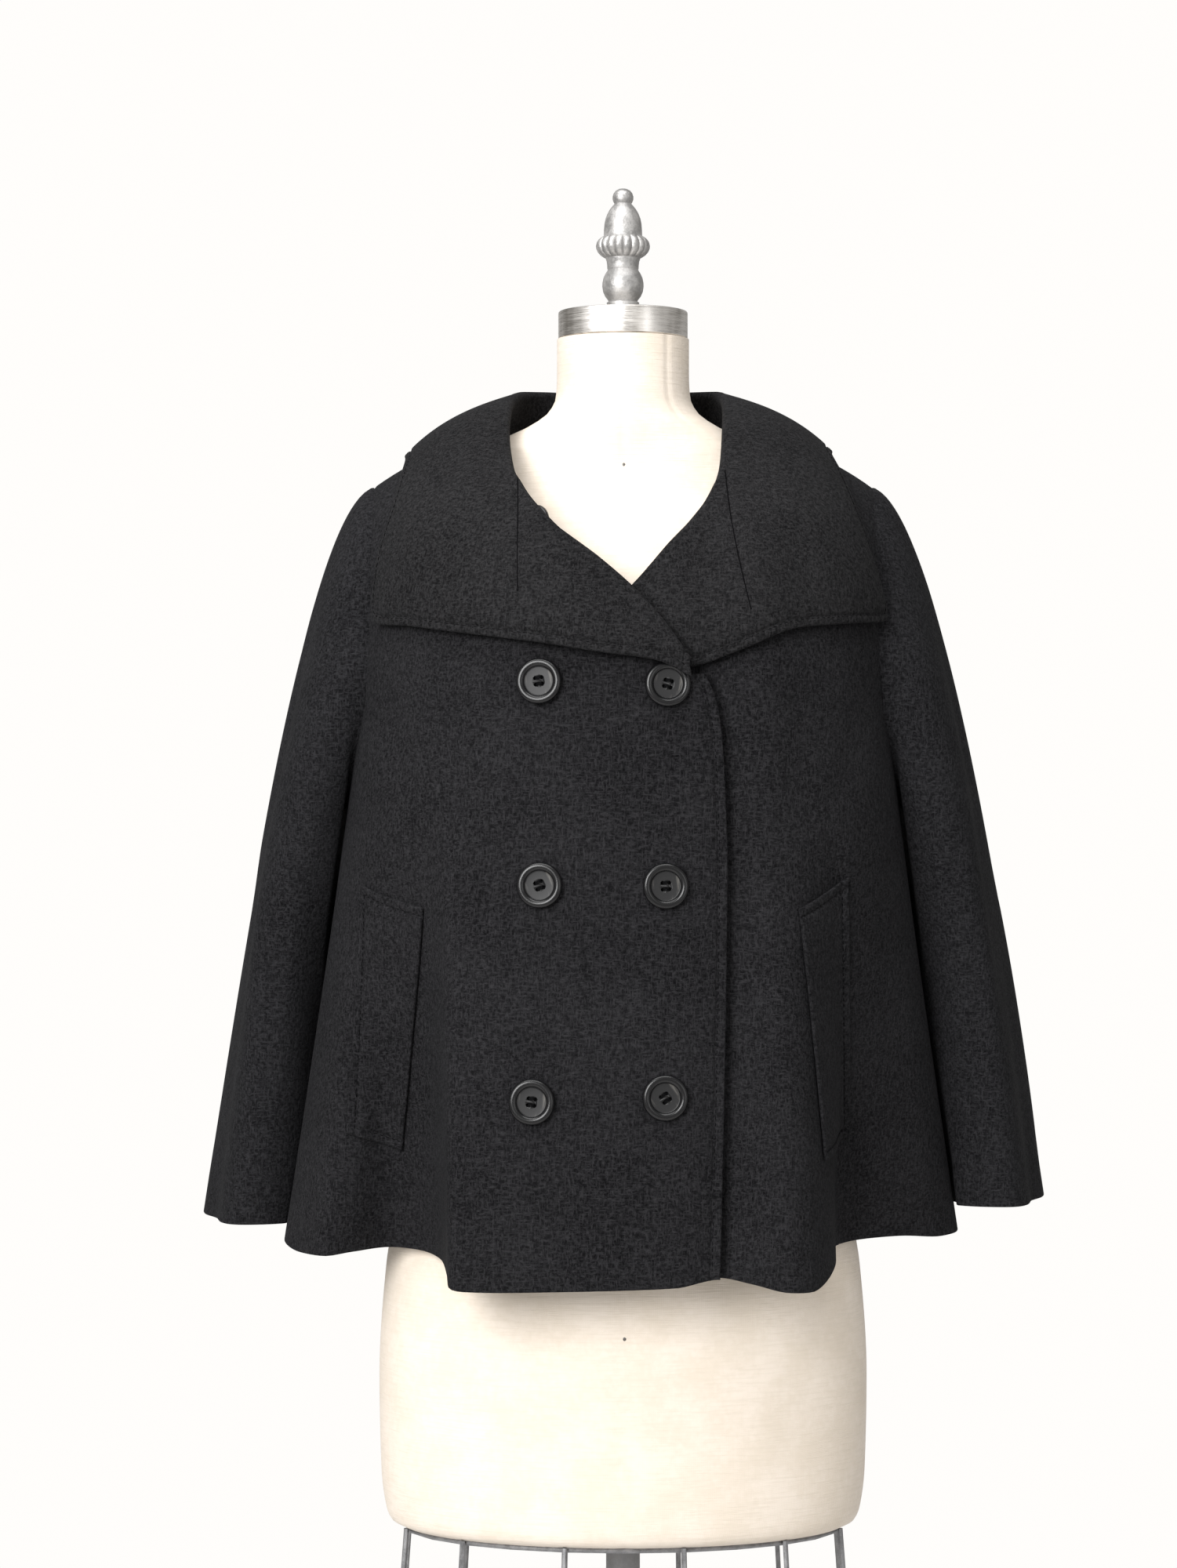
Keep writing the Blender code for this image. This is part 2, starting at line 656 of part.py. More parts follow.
def build_sleeve(name, side, cuff_x, cuff_y, half_x, half_y, cuff_z, cloth):
    """A bell sleeve from the armhole down to its open cuff"""
    lines = []
    for k in range(SLEEVE_AROUND):
        turn = k / SLEEVE_AROUND
        down = 1 - abs(1 - 2 * turn)
        back = turn > 0.5
        angle, z = ARMHOLE_LINE(down * (len(ARMHOLE) - 1))
        start = skin(side * (180 - angle if back else angle), z)
        start[0] += side * SLEEVE_SEAM
        tilt = math.radians(90) * down**1.5
        leave = np.array((side * math.cos(tilt), 0.0, -math.sin(tilt)))
        ledge = start + leave * SLEEVE_LEDGE
        around = 2 * math.pi * turn
        cuff = np.array((side * (cuff_x + half_x * math.cos(around)),
                         cuff_y - half_y * math.sin(around), cuff_z))
        handle = SLEEVE_HANDLE[0] * (1 - down) + SLEEVE_HANDLE[1] * down
        hang = SLEEVE_HANG[0] * (1 - down) + SLEEVE_HANG[1] * down
        first = ledge + leave * handle + np.array((0, 0, -SLEEVE_SAG * (1 - down)))
        last = cuff + np.array((-side * SLEEVE_BOW * (1 - down),
                                (start[1] - cuff[1]) * SLEEVE_KEEPS_Y, hang))
        line = [bezier(ledge, first, last, cuff, t / 40) for t in range(41)]
        rows = list(along(line, [(r / (SLEEVE_ROWS - 1)) ** 1.15 for r in range(SLEEVE_ROWS)]))
        outward = np.array((side * math.cos(around), -math.sin(around), 0.0))
        for r, place in enumerate(rows):
            grown = (r / (SLEEVE_ROWS - 1)) ** 1.2
            for centre, width, depth in SLEEVE_FOLDS:
                away = (turn - centre + 0.5) % 1.0 - 0.5
                place += outward * depth * grown * math.exp(-(away / width) ** 2)
        rows = [clear_of_body(place, side) for place in rows]
        lines.append([start] + rows)
    return sheet(name, lines, CLOTH, 0.0, cloth, wrap=True)


# Collar

def collar_section(table, side, row, under):
    """The collar's under face at one station: up the stand, over the crest, down the fall"""
    crest_out, crest_y, crest_z, edge_out, edge_y, edge_z, lift = table(row)
    neck = neck_place(row)
    crest = np.array((crest_out, crest_y, crest_z))
    edge = on_dome((edge_out, edge_y, edge_z), lift)
    neck_out = neck - CHEST_MIDDLE
    neck_out /= np.linalg.norm(neck_out)
    up = crest - neck
    up /= np.linalg.norm(up)
    outward = edge - crest
    outward -= up * np.dot(outward, up)
    outward += neck_out * COLLAR_OPENNESS
    outward -= up * np.dot(outward, up)
    outward /= np.linalg.norm(outward)
    turn = crest - up * COLLAR_CLOTH
    base = neck + up * STAND_GAP
    stand_top = turn - up * COLLAR_TURN - outward * COLLAR_TURN
    fall_top = turn - up * COLLAR_TURN + outward * COLLAR_TURN
    section = [base, (base + stand_top) / 2, stand_top, turn, fall_top]
    start_lift = np.linalg.norm(fall_top - CHEST_MIDDLE) - dome_reach_of(fall_top)
    end_lift = np.linalg.norm(edge - CHEST_MIDDLE) - dome_reach_of(edge)
    bulge = COLLAR_BULGE * min(np.linalg.norm(edge - crest) / COLLAR_FULL_FALL, 1.0) ** 2
    for step in COLLAR_FALL_STEPS:
        guess = fall_top + (edge - fall_top) * step
        raised = start_lift + (end_lift - start_lift) * step
        raised += bulge * 4 * step * (1 - step)
        section.append(on_dome(guess, raised))
    section = [np.array(place) for place in section]
    for place in section:
        if under and place[1] < 0:
            place[1] += drop(place[0], place[2])
        place[0] *= side
    return section


def dome_reach_of(place):
    direction = place - CHEST_MIDDLE
    return dome_reach(direction / np.linalg.norm(direction))


def build_collar(name, side, rows, under, cloth):
    table = fair(range(len(rows)), rows)
    lines = [collar_section(table, side, row, under)
             for row in between(0, len(rows) - 1, COLLAR_STATIONS)]
    lines.append([place.copy() for place in lines[-1]])
    for line, out in ((lines[-2], COLLAR_BACK_STEP), (lines[-1], SEAM / 2)):
        for place in line:
            place[0] = side * out
    return sheet(name, lines, 0.0, COLLAR_CLOTH, cloth)


# Pieces on the fronts

def face_normal(face, angle, z):
    """The outward direction of a body face"""
    step = 0.5
    across = face(angle + step, z) - face(angle - step, z)
    upward = face(angle, z + 0.002) - face(angle, z - 0.002)
    normal = np.cross(across, upward)
    return normal / np.linalg.norm(normal)


def find_angle(face, x, z):
    """The girth angle at which a face reaches a place across, near the middle of the front"""
    low, high = -BUTTON_ANGLES, BUTTON_ANGLES
    for _ in range(40):
        middle = (low + high) / 2
        if face(middle, z)[0] < x:
            low = middle
        else:
            high = middle
    return (low + high) / 2


def build_welt(side_name, corners, face, front, cloth):
    side = SIDES[side_name]
    top_in, top_in_z, top_out, top_out_z, low_out, low_out_z, low_in, low_in_z = corners
    front_faces = BVHTree.FromPolygons([v.co for v in front.data.vertices],
                                       [p.vertices for p in front.data.polygons])

    def on_front(u, v):
        """The place on the front's own faces, part u of the way across and v of the way down"""
        angle = ((top_in * (1 - u) + top_out * u) * (1 - v)
                 + (low_in * (1 - u) + low_out * u) * v) * side
        z = ((top_in_z * (1 - u) + top_out_z * u) * (1 - v)
             + (low_in_z * (1 - u) + low_out_z * u) * v)
        normal = face_normal(face, angle, z)
        ahead = Vector(face(angle, z) + normal * WELT_PROBE)
        return np.array(front_faces.ray_cast(ahead, Vector(-normal))[0]), normal

    lines = []
    normals = []
    for i in range(WELT_ACROSS + 1):
        found = [on_front(i / WELT_ACROSS, j / WELT_DOWN) for j in range(WELT_DOWN + 1)]
        lines.append([place + normal * WELT_GAP for place, normal in found])
        normals.append([normal for _, normal in found])
    for i in range(WELT_ACROSS):
        for j in range(WELT_DOWN):
            corners_of_cell = ((i, j), (i + 1, j), (i, j + 1), (i + 1, j + 1))
            short = 0.0
            for a in (0.25, 0.5, 0.75):
                for b in (0.25, 0.5, 0.75):
                    place, normal = on_front((i + a) / WELT_ACROSS, (j + b) / WELT_DOWN)
                    weights = ((1 - a) * (1 - b), a * (1 - b), (1 - a) * b, a * b)
                    flat = sum(w * lines[m][n] for w, (m, n) in zip(weights, corners_of_cell))
                    short = max(short, WELT_GAP - float(np.dot(flat - place, normal)))
            for m, n in corners_of_cell:
                lines[m][n] = lines[m][n] + normals[m][n] * short
    return sheet("coat_welt_" + side_name, lines, 0.0, WELT_CLOTH, cloth)


def turned(name, profile, around, finish, flute_rows=(), flute=0.0):
    """A turned solid from its profile, lowest point first; both ends are closed flat"""
    shape = bmesh.new()
    rings = []
    for row, (radius, height) in enumerate(profile):
        ring = []
        for k in range(around):
            reach = radius - (flute if row in flute_rows and k % 2 else 0.0)
            turn = 2 * math.pi * k / around
            ring.append(shape.verts.new((reach * math.cos(turn), reach * math.sin(turn), height)))
        rings.append(ring)
    for low, high in zip(rings, rings[1:]):
        for k in range(around):
            after = (k + 1) % around
            shape.faces.new((low[k], low[after], high[after], high[k]))
    shape.faces.new(rings[0][::-1])
    shape.faces.new(rings[-1])
    mesh = bpy.data.meshes.new(name)
    shape.to_mesh(mesh)
    shape.free()
    mesh.shade_smooth()
    mesh.set_sharp_from_angle(angle=math.radians(40))
    mesh.materials.append(finish)
    piece = bpy.data.objects.new(name, mesh)
    bpy.context.collection.objects.link(piece)
    return piece


def button_mesh(name, radius, finish):
    """A turned four-hole button, its back at height 0: broad round rim, sunken flat centre"""
    thick = BUTTON_THICK
    rim = [(radius * out, thick * up) for out, up in BUTTON_RIM]
    blank = turned(name + "_blank", rim, BUTTON_SIDES, finish)
    cutter_mesh = bpy.data.meshes.new(name + "_holes")
    drill = bmesh.new()
    for k in range(4):
        turn = math.radians(45 + 90 * k)
        centre = Vector((BUTTON_HOLE_CIRCLE * math.cos(turn), BUTTON_HOLE_CIRCLE * math.sin(turn),
                         thick / 2))
        made = bmesh.ops.create_cone(drill, cap_ends=True, segments=5, radius1=BUTTON_HOLE,
                                     radius2=BUTTON_HOLE, depth=3 * thick)
        bmesh.ops.translate(drill, verts=made["verts"], vec=centre)
    drill.to_mesh(cutter_mesh)
    drill.free()
    cutter = bpy.data.objects.new(name + "_holes", cutter_mesh)
    cutter.hide_render = True
    cutter.display_type = "WIRE"
    bpy.context.collection.objects.link(cutter)
    cut = blank.modifiers.new("Holes", "BOOLEAN")
    cut.operation = "DIFFERENCE"
    cut.object = cutter
    bpy.context.view_layer.update()
    graph = bpy.context.evaluated_depsgraph_get()
    mesh = bpy.data.meshes.new_from_object(blank.evaluated_get(graph))
    mesh.name = name
    for spare in (blank, cutter):
        bpy.data.objects.remove(spare)
    return mesh


def place_button(name, mesh, place, normal):
    piece = bpy.data.objects.new(name, mesh)
    piece.location = Vector(place)
    piece.rotation_mode = "QUATERNION"
    piece.rotation_quaternion = Vector(normal).to_track_quat("Z", "Y")
    bpy.context.collection.objects.link(piece)
    return piece


def build_buttons(finish):
    mesh = button_mesh("coat_button", BUTTON_RADIUS, finish)
    for number, (x, z) in enumerate(BUTTONS, 1):
        angle = find_angle(skin, x, z)
        normal = face_normal(skin, angle, z)
        flat = seat_gap(angle, z, normal)
        place_button(f"coat_button_{number}", mesh, skin(angle, z) + normal * flat, normal)


def seat_gap(angle, z, normal):
    """How far a button's flat back stands off so that the front's curve clears it"""
    centre = skin(angle, z)
    highest = 0.0
    for k in range(12):
        turn = 2 * math.pi * k / 12
        reach = BUTTON_RADIUS * BUTTON_REACH
        near_z = z + reach * math.sin(turn)
        near_angle = find_angle(skin, centre[0] + reach * math.cos(turn), near_z)
        highest = max(highest, float(np.dot(skin(near_angle, near_z) - centre, normal)))
    return highest + LYING_GAP


def build_inner_button(finish):
    """The button on the neck side of the right collar half, just under the crest"""
    table = fair(range(len(COLLAR_RIGHT)), COLLAR_RIGHT)
    section = collar_section(table, 1.0, INNER_BUTTON_ROW, False)
    ahead = collar_section(table, 1.0, INNER_BUTTON_ROW + 0.3, False)
    base, top = section[0], section[2]
    up = (top - base) / np.linalg.norm(top - base)
    run = ahead[2] - section[2]
    normal = np.cross(up, run)
    normal /= np.linalg.norm(normal)
    if normal[0] > 0:
        normal = -normal
    place = top - up * INNER_BUTTON_DROP + normal * (COLLAR_CLOTH + INNER_BUTTON_OFF)
    place[0] = -place[0]
    normal[0] = -normal[0]
    mesh = button_mesh("coat_button_inner", INNER_BUTTON_RADIUS, finish)
    place_button("coat_button_inner", mesh, place, normal)


# Dress form

def inside_coat(place):
    """Keeps the form's shoulders clear of the cloth over them"""
    if not CHEST_Z < place[2] < RIDGE_Z:
        return place
    away = place - CHEST_MIDDLE
    length = np.linalg.norm(away)
    sides = NECK_PLACES[NECK_PLACES[:, 0] >= 0]
    round_neck = np.arctan2(sides[:, 1], sides[:, 0])
    neck_reach = np.interp(np.arctan2(place[1], abs(place[0])), round_neck,
                           np.hypot(sides[:, 0], sides[:, 1]))
    covered = np.hypot(place[0], place[1]) / neck_reach
    free = ease((FORM_COVERED - covered) / (FORM_COVERED - FORM_BARE))
    clear = FORM_CLEAR - FORM_NECK_FREE * free
    return CHEST_MIDDLE + away * min(1.0, (dome_reach(away / length) - clear) / length)


def build_torso(linen):
    rings = []
    for height, half, front, back in FORM_SECTIONS:
        ring = []
        on_shoulder = FORM_SHOULDERS[0] < height < FORM_SHOULDERS[1]
        bend = 2 / (FORM_SHOULDER_ROUND if on_shoulder else 2)
        for k in range(FORM_AROUND):
            across = math.cos(2 * math.pi * k / FORM_AROUND)
            forward = math.sin(2 * math.pi * k / FORM_AROUND)
            depth = front if forward < 0 else back
            ring.append((half * math.copysign(abs(across) ** bend, across),
                         depth * math.copysign(abs(forward) ** bend, forward), height))
        rings.append([inside_coat(np.array(place)) for place in ring])
    shape = bmesh.new()
    loops = [[shape.verts.new(place) for place in ring] for ring in rings]
    for high, low in zip(loops, loops[1:]):
        for k in range(FORM_AROUND):
            after = (k + 1) % FORM_AROUND
            shape.faces.new((low[k], low[after], high[after], high[k]))
    shape.faces.new(loops[0])
    shape.faces.new(loops[-1][::-1])
    mesh = bpy.data.meshes.new("form_torso")
    shape.to_mesh(mesh)
    shape.free()
    mesh.shade_smooth()
    mesh.set_sharp_from_angle(angle=math.radians(50))
    mesh.materials.append(linen)
    bpy.context.collection.objects.link(bpy.data.objects.new("form_torso", mesh))


def build_cap_and_finial(cap_metal, finial_metal):
    edge = 0.0012
    cap = [(CAP_RADIUS - edge, CAP_LOW), (CAP_RADIUS, CAP_LOW + edge),
           (CAP_RADIUS, CAP_HIGH - edge), (CAP_RADIUS - edge, CAP_HIGH)]
    turned("form_neck_cap", cap, 40, cap_metal)
    profile = list(FINIAL) + [(0.0015, FINIAL_TIP)]
    finial = turned("form_finial", profile, FINIAL_AROUND, finial_metal, FINIAL_FLUTED, FINIAL_FLUTE)
    finial.location = (0.0, 0.0, FINIAL_LOW)


def rod(name, points, radius, finish, cyclic=False):
    """A round wire along a line of points"""
    line = bpy.data.curves.new(name, "CURVE")
    line.dimensions = "3D"
    line.bevel_depth = radius
    line.bevel_resolution = 1
    line.use_fill_caps = True
    spline = line.splines.new("POLY")
    spline.points.add(len(points) - 1)
    for point, place in zip(spline.points, points):
        point.co = (*place, 1.0)
    spline.use_cyclic_u = cyclic
    line.materials.append(finish)
    bpy.context.collection.objects.link(bpy.data.objects.new(name, line))


def build_cage(wire_metal):
    """Two rings under the hips with upright wires welded round the outside of them"""
    ring_points = 24
    apart = 2 * WIRE_RADIUS + SEAM
    levels = (("top", CAGE_TOP, CAGE_TOP_Z - WIRE_RADIUS), ("low", CAGE_LOW, CAGE_LOW_Z))
    for name, (half_x, half_y), z in levels:
        points = [(half_x * math.cos(2 * math.pi * k / ring_points),
                   half_y * math.sin(2 * math.pi * k / ring_points), z) for k in range(ring_points)]
        rod("form_cage_ring_" + name, points, WIRE_RADIUS, wire_metal, cyclic=True)
    for k in range(WIRE_COUNT):
        turn = 2 * math.pi * (k + 0.5) / WIRE_COUNT
        ends = []
        for (half_x, half_y), z, past in ((CAGE_TOP, CAGE_TOP_Z, 0.0),
                                          (CAGE_LOW, CAGE_LOW_Z, 3 * WIRE_RADIUS)):
            reach = apart + past / 8
            ends.append(((half_x + reach) * math.cos(turn), (half_y + reach) * math.sin(turn),
                         z - past))
        rod(f"form_cage_wire_{k + 1:02d}", ends, WIRE_RADIUS, wire_metal)


def build_stand(pole_metal, iron):
    foot_top = BASE[-1][1]
    turned("form_base", BASE, BASE_AROUND, iron)
    hip_low = FORM_SECTIONS[-1][0]
    pole = [(POLE_RADIUS, foot_top + SEAM), (POLE_RADIUS, hip_low - SEAM)]
    turned("form_pole", pole, 20, pole_metal)


def main():
    for old in list(bpy.data.objects):
        bpy.data.objects.remove(old)
    wool = material("charcoal wool", (0.024, 0.024, 0.028), 0.95)
    collar_wool = material("charcoal wool collar", (0.028, 0.028, 0.032), 0.95)
    horn = material("black button", (0.012, 0.012, 0.013), 0.25)
    linen = material("cream linen", (0.78, 0.71, 0.61), 0.85)
    cap_metal = material("brushed cap steel", (0.62, 0.60, 0.57), 0.30, 1.0)
    finial_metal = material("silver painted metal", (0.42, 0.42, 0.42), 0.45, 0.8)
    wire_metal = material("grey wire", (0.30, 0.30, 0.31), 0.45, 0.8)
    iron = material("grey cast iron", (0.25, 0.25, 0.26), 0.55, 0.5)

    faces = {"right": skin, "left": skin_under}
    fronts = {name: build_front("coat_front_" + name, SIDES[name], face, wool)
              for name, face in faces.items()}
    build_back(wool)
    for side_name, *sizes in SLEEVES:
        build_sleeve("coat_sleeve_" + side_name, SIDES[side_name], *sizes, wool)
    build_collar("coat_collar_right", SIDES["right"], COLLAR_RIGHT, False, collar_wool)
    build_collar("coat_collar_left", SIDES["left"], COLLAR_LEFT, True, collar_wool)
    for side_name, *corners in WELTS:
        build_welt(side_name, corners, faces[side_name], fronts[side_name], wool)
    build_buttons(horn)
    build_inner_button(horn)
    build_torso(linen)
    build_cap_and_finial(cap_metal, finial_metal)
    build_cage(wire_metal)
    build_stand(wire_metal, iron)


main()
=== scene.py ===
"""Looks of a short double-breasted wool coat on a limbless dress form.

Metres, +Z up, the coat's front towards -Y and the wearer's left towards +X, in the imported
model's frame. Each cloth piece is rebuilt finely on the surface that its solid follows.
"""
import math

import bmesh
import bpy
import numpy as np
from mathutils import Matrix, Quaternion, Vector


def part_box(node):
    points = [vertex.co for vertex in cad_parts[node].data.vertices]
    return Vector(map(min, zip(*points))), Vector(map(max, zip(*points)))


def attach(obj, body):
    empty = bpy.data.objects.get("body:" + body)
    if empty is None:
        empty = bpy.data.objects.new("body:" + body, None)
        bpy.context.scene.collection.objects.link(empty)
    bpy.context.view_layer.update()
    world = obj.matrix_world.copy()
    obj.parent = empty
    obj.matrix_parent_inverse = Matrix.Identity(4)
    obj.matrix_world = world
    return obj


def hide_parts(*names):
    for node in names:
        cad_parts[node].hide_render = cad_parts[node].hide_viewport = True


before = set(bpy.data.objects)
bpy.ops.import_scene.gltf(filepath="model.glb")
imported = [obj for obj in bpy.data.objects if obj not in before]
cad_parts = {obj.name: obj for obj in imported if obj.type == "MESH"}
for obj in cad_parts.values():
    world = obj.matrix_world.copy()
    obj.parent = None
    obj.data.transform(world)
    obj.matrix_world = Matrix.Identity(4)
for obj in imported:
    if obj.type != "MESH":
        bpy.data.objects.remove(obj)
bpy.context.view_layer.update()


# The foot and pole
# A round cast-iron plate with a short socket, painted grey, and a steel tube pushed into it.
# Both are turned shapes; the tube carries the padded body.

FOOT_SIDES = 128
POLE_SIDES = 48
POLE_RADIUS = 0.0125
# Columns: radius, height
FOOT_OUTLINE = (
    (0.1890, 0.0000),
    (0.1900, 0.0010),
    (0.1900, 0.0072),
    (0.1890, 0.0090),
    (0.1860, 0.0118),
    (0.1810, 0.0148),
    (0.1200, 0.0192),
    (0.0620, 0.0228),
    (0.0450, 0.0248),
    (0.0345, 0.0290),
    (0.0300, 0.0350),
    (0.0262, 0.0500),
    (0.0241, 0.0690),
    (0.0232, 0.0722),
    (0.0215, 0.0738),
    (0.0195, 0.0740),
)


def add_node(tree, kind, **settings):
    """A shader node with its settings"""
    node = tree.nodes.new(kind)
    for key, value in settings.items():
        setattr(node, key, value)
    return node


def start_group(name, inputs, outputs):
    """An empty shader group with named sockets, and its two end nodes"""
    group = bpy.data.node_groups.new(name, "ShaderNodeTree")
    for socket, kind, value in inputs:
        made = group.interface.new_socket(socket, in_out="INPUT", socket_type=kind)
        if value is not None:
            made.default_value = value
    for socket, kind in outputs:
        group.interface.new_socket(socket, in_out="OUTPUT", socket_type=kind)
    return group, group.nodes.new("NodeGroupInput"), group.nodes.new("NodeGroupOutput")


def fill(tree, value, socket):
    """Links a socket to an input, or sets the input to a number or a colour"""
    if isinstance(value, bpy.types.NodeSocket):
        tree.links.new(value, socket)
    else:
        socket.default_value = (*value, 1.0) if isinstance(value, tuple) else value


def noise(tree, vector, scale, detail=2.0, roughness=0.5):
    """A noise texture on a vector socket"""
    node = add_node(tree, "ShaderNodeTexNoise")
    node.inputs["Detail"].default_value = detail
    node.inputs["Roughness"].default_value = roughness
    tree.links.new(vector, node.inputs["Vector"])
    fill(tree, scale, node.inputs["Scale"])
    return node.outputs["Fac"]


def remap(tree, value, low, high):
    """A value stretched so that low to high becomes 0 to 1"""
    node = add_node(tree, "ShaderNodeMapRange", interpolation_type="SMOOTHSTEP")
    node.inputs["From Min"].default_value = low
    node.inputs["From Max"].default_value = high
    tree.links.new(value, node.inputs["Value"])
    return node.outputs["Result"]


def blend_colours(tree, share, first, second):
    """A colour between two, each a socket or a colour"""
    node = add_node(tree, "ShaderNodeMix", data_type="RGBA")
    for given, socket in ((share, "Factor"), (first, "A"), (second, "B")):
        fill(tree, given, node.inputs[socket])
    return node.outputs["Result"]


def combine(tree, operation, *values):
    """One sum of values, each a socket or a number"""
    node = add_node(tree, "ShaderNodeMath", operation=operation)
    for given, socket in zip(values, node.inputs):
        fill(tree, given, socket)
    return node.outputs["Value"]


def weigh(tree, *parts):
    """Values added up, each by its weight"""
    total = 0.0
    for value, weight in parts:
        total = combine(tree, "MULTIPLY_ADD", value, weight, total)
    return total


def stretch(tree, place, factors):
    """A place multiplied along each axis"""
    node = add_node(tree, "ShaderNodeVectorMath", operation="MULTIPLY")
    node.inputs[1].default_value = factors
    tree.links.new(place, node.inputs[0])
    return node.outputs["Vector"]


def object_place(tree):
    return add_node(tree, "ShaderNodeTexCoord").outputs["Object"]


mottle, mottle_in, mottle_out = start_group(
    "Mottle",
    (("Place", "NodeSocketVector", None), ("Scale", "NodeSocketFloat", 100.0),
     ("Dark", "NodeSocketColor", None), ("Light", "NodeSocketColor", None)),
    (("Colour", "NodeSocketColor"), ("Mask", "NodeSocketFloat"), ("Height", "NodeSocketFloat")))
mottle_broad = noise(mottle, mottle_in.outputs["Place"], mottle_in.outputs["Scale"], 3.0)
mottle_fine_scale = combine(mottle, "MULTIPLY", mottle_in.outputs["Scale"], 7.0)
mottle_fine = noise(mottle, mottle_in.outputs["Place"], mottle_fine_scale, 4.0, 0.65)
mottle_sum = weigh(mottle, (mottle_broad, 0.6), (mottle_fine, 0.4))
mottle_mask = remap(mottle, mottle_sum, 0.36, 0.64)
mottle.links.new(blend_colours(mottle, mottle_mask, mottle_in.outputs["Dark"],
                               mottle_in.outputs["Light"]), mottle_out.inputs["Colour"])
mottle.links.new(mottle_mask, mottle_out.inputs["Mask"])
mottle.links.new(mottle_fine, mottle_out.inputs["Height"])


def start_material(name, **settings):
    """A new material with its Principled shader, and what is the same all over set on it"""
    made = bpy.data.materials.new(name)
    made.use_nodes = True
    shader = made.node_tree.nodes["Principled BSDF"]
    for socket, value in settings.items():
        shader.inputs[socket.replace("_", " ")].default_value = value
    return made, made.node_tree, shader


def place_group(tree, group, **values):
    """A group in a material, its inputs given as sockets or values"""
    node = add_node(tree, "ShaderNodeGroup", node_tree=group)
    for key, value in values.items():
        fill(tree, value, node.inputs[key])
    return node


def bump(tree, shader, height, strength, distance):
    """Fine relief on a material, from a height"""
    node = add_node(tree, "ShaderNodeBump")
    node.inputs["Strength"].default_value = strength
    node.inputs["Distance"].default_value = distance
    tree.links.new(height, node.inputs["Height"])
    tree.links.new(node.outputs["Normal"], shader.inputs["Normal"])


def mottled(name, scale, dark, light, rough=None, relief=None, **settings):
    """A finish of mottled colour; rough and relief, where given, follow the mottle"""
    made, tree, shader = start_material(name, **settings)
    skin = place_group(tree, mottle, Place=object_place(tree), Scale=scale, Dark=dark, Light=light)
    tree.links.new(skin.outputs["Colour"], shader.inputs["Base Color"])
    if rough:
        tree.links.new(combine(tree, "MULTIPLY_ADD", skin.outputs["Mask"], *rough),
                       shader.inputs["Roughness"])
    if relief:
        bump(tree, shader, skin.outputs["Height"], *relief)
    return made


painted_iron = mottled("painted_iron", 60.0, (0.190, 0.191, 0.195), (0.235, 0.237, 0.242),
                       (0.15, 0.42), (0.25, 0.0006), Metallic=0.35)


def join_rings(shape, rings):
    """Closes rings of points, lowest first, to a tube with flat ends"""
    for low, high in zip(rings, rings[1:]):
        for k in range(len(low)):
            after = (k + 1) % len(low)
            shape.faces.new((low[k], low[after], high[after], high[k]))
    shape.faces.new(rings[0][::-1])
    shape.faces.new(rings[-1])


def mesh_of(name, shape):
    """A mesh from a shape, which ends with it"""
    mesh = bpy.data.meshes.new(name)
    shape.to_mesh(mesh)
    shape.free()
    return mesh


def show(mesh, finish, sharp=None):
    """The visible piece of a mesh, smooth but for edges over so many degrees"""
    mesh.shade_smooth()
    if sharp is not None:
        mesh.set_sharp_from_angle(angle=math.radians(sharp))
    mesh.materials.append(finish)
    piece = bpy.data.objects.new(mesh.name, mesh)
    bpy.context.collection.objects.link(piece)
    return piece


def turn_on_lathe(name, outline, sides, finish, flute=None):
    """A turned piece from its outline, (radius, height) from the lowest point up"""
    outline = np.asarray(outline, float)
    turns = 2 * np.pi * np.arange(sides) / sides
    reach = np.repeat(outline[:, :1], sides, 1)
    if flute is not None:
        reach = reach - flute(outline[:, 1:], turns[None, :])
    rings = np.stack((reach * np.cos(turns), reach * np.sin(turns),
                      np.repeat(outline[:, 1:], sides, 1)), -1)
    shape = bmesh.new()
    join_rings(shape, [[shape.verts.new(place) for place in ring] for ring in rings])
    return show(mesh_of(name, shape), finish, 38)


def stands_for(piece, slot, *nodes):
    """Ties a piece to the frame: what it rides on and what it replaces; its slot is not used"""
    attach(piece, "root")
    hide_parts(*nodes)


foot = turn_on_lathe("foot_plate", FOOT_OUTLINE, FOOT_SIDES, painted_iron)
stands_for(foot, "base_iron", "form_base")

pole_low, pole_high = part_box("form_pole")
POLE_EASE = 0.0008
pole = turn_on_lathe("pole_tube", (
    (POLE_RADIUS - POLE_EASE, pole_low.z),
    (POLE_RADIUS, pole_low.z + POLE_EASE),
    (POLE_RADIUS, pole_high.z - POLE_EASE),
    (POLE_RADIUS - POLE_EASE, pole_high.z),
), POLE_SIDES, painted_iron)
stands_for(pole, "grey_wire", "form_pole")


# The wire cage
# Bent and welded steel wire, painted grey: two rings under the hips and upright wires
# outside them. Its solids are already true to size, so they keep their shape.

wire_paint = mottled("wire_paint", 150.0, (0.16, 0.16, 0.165), (0.27, 0.27, 0.275),
                     (0.2, 0.35), (0.2, 0.0004), Metallic=0.5)

for node_name, node_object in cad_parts.items():
    if node_name.startswith("form_cage"):
        for slot in node_object.material_slots:
            slot.material = wire_paint


# The padded body
# A papier-mache shell padded and covered with cream linen, sewn in long panels that meet at
# the centre front, at two princess seams a side and at the centre back. Marks printed on
# the real cloth are left bare. Under the coat its shoulders stay clear of the cloth.

BODY_AROUND = 144
BODY_ROWS = 170
BODY_FOOT = 0.02
BODY_FOOT_ROWS = 12
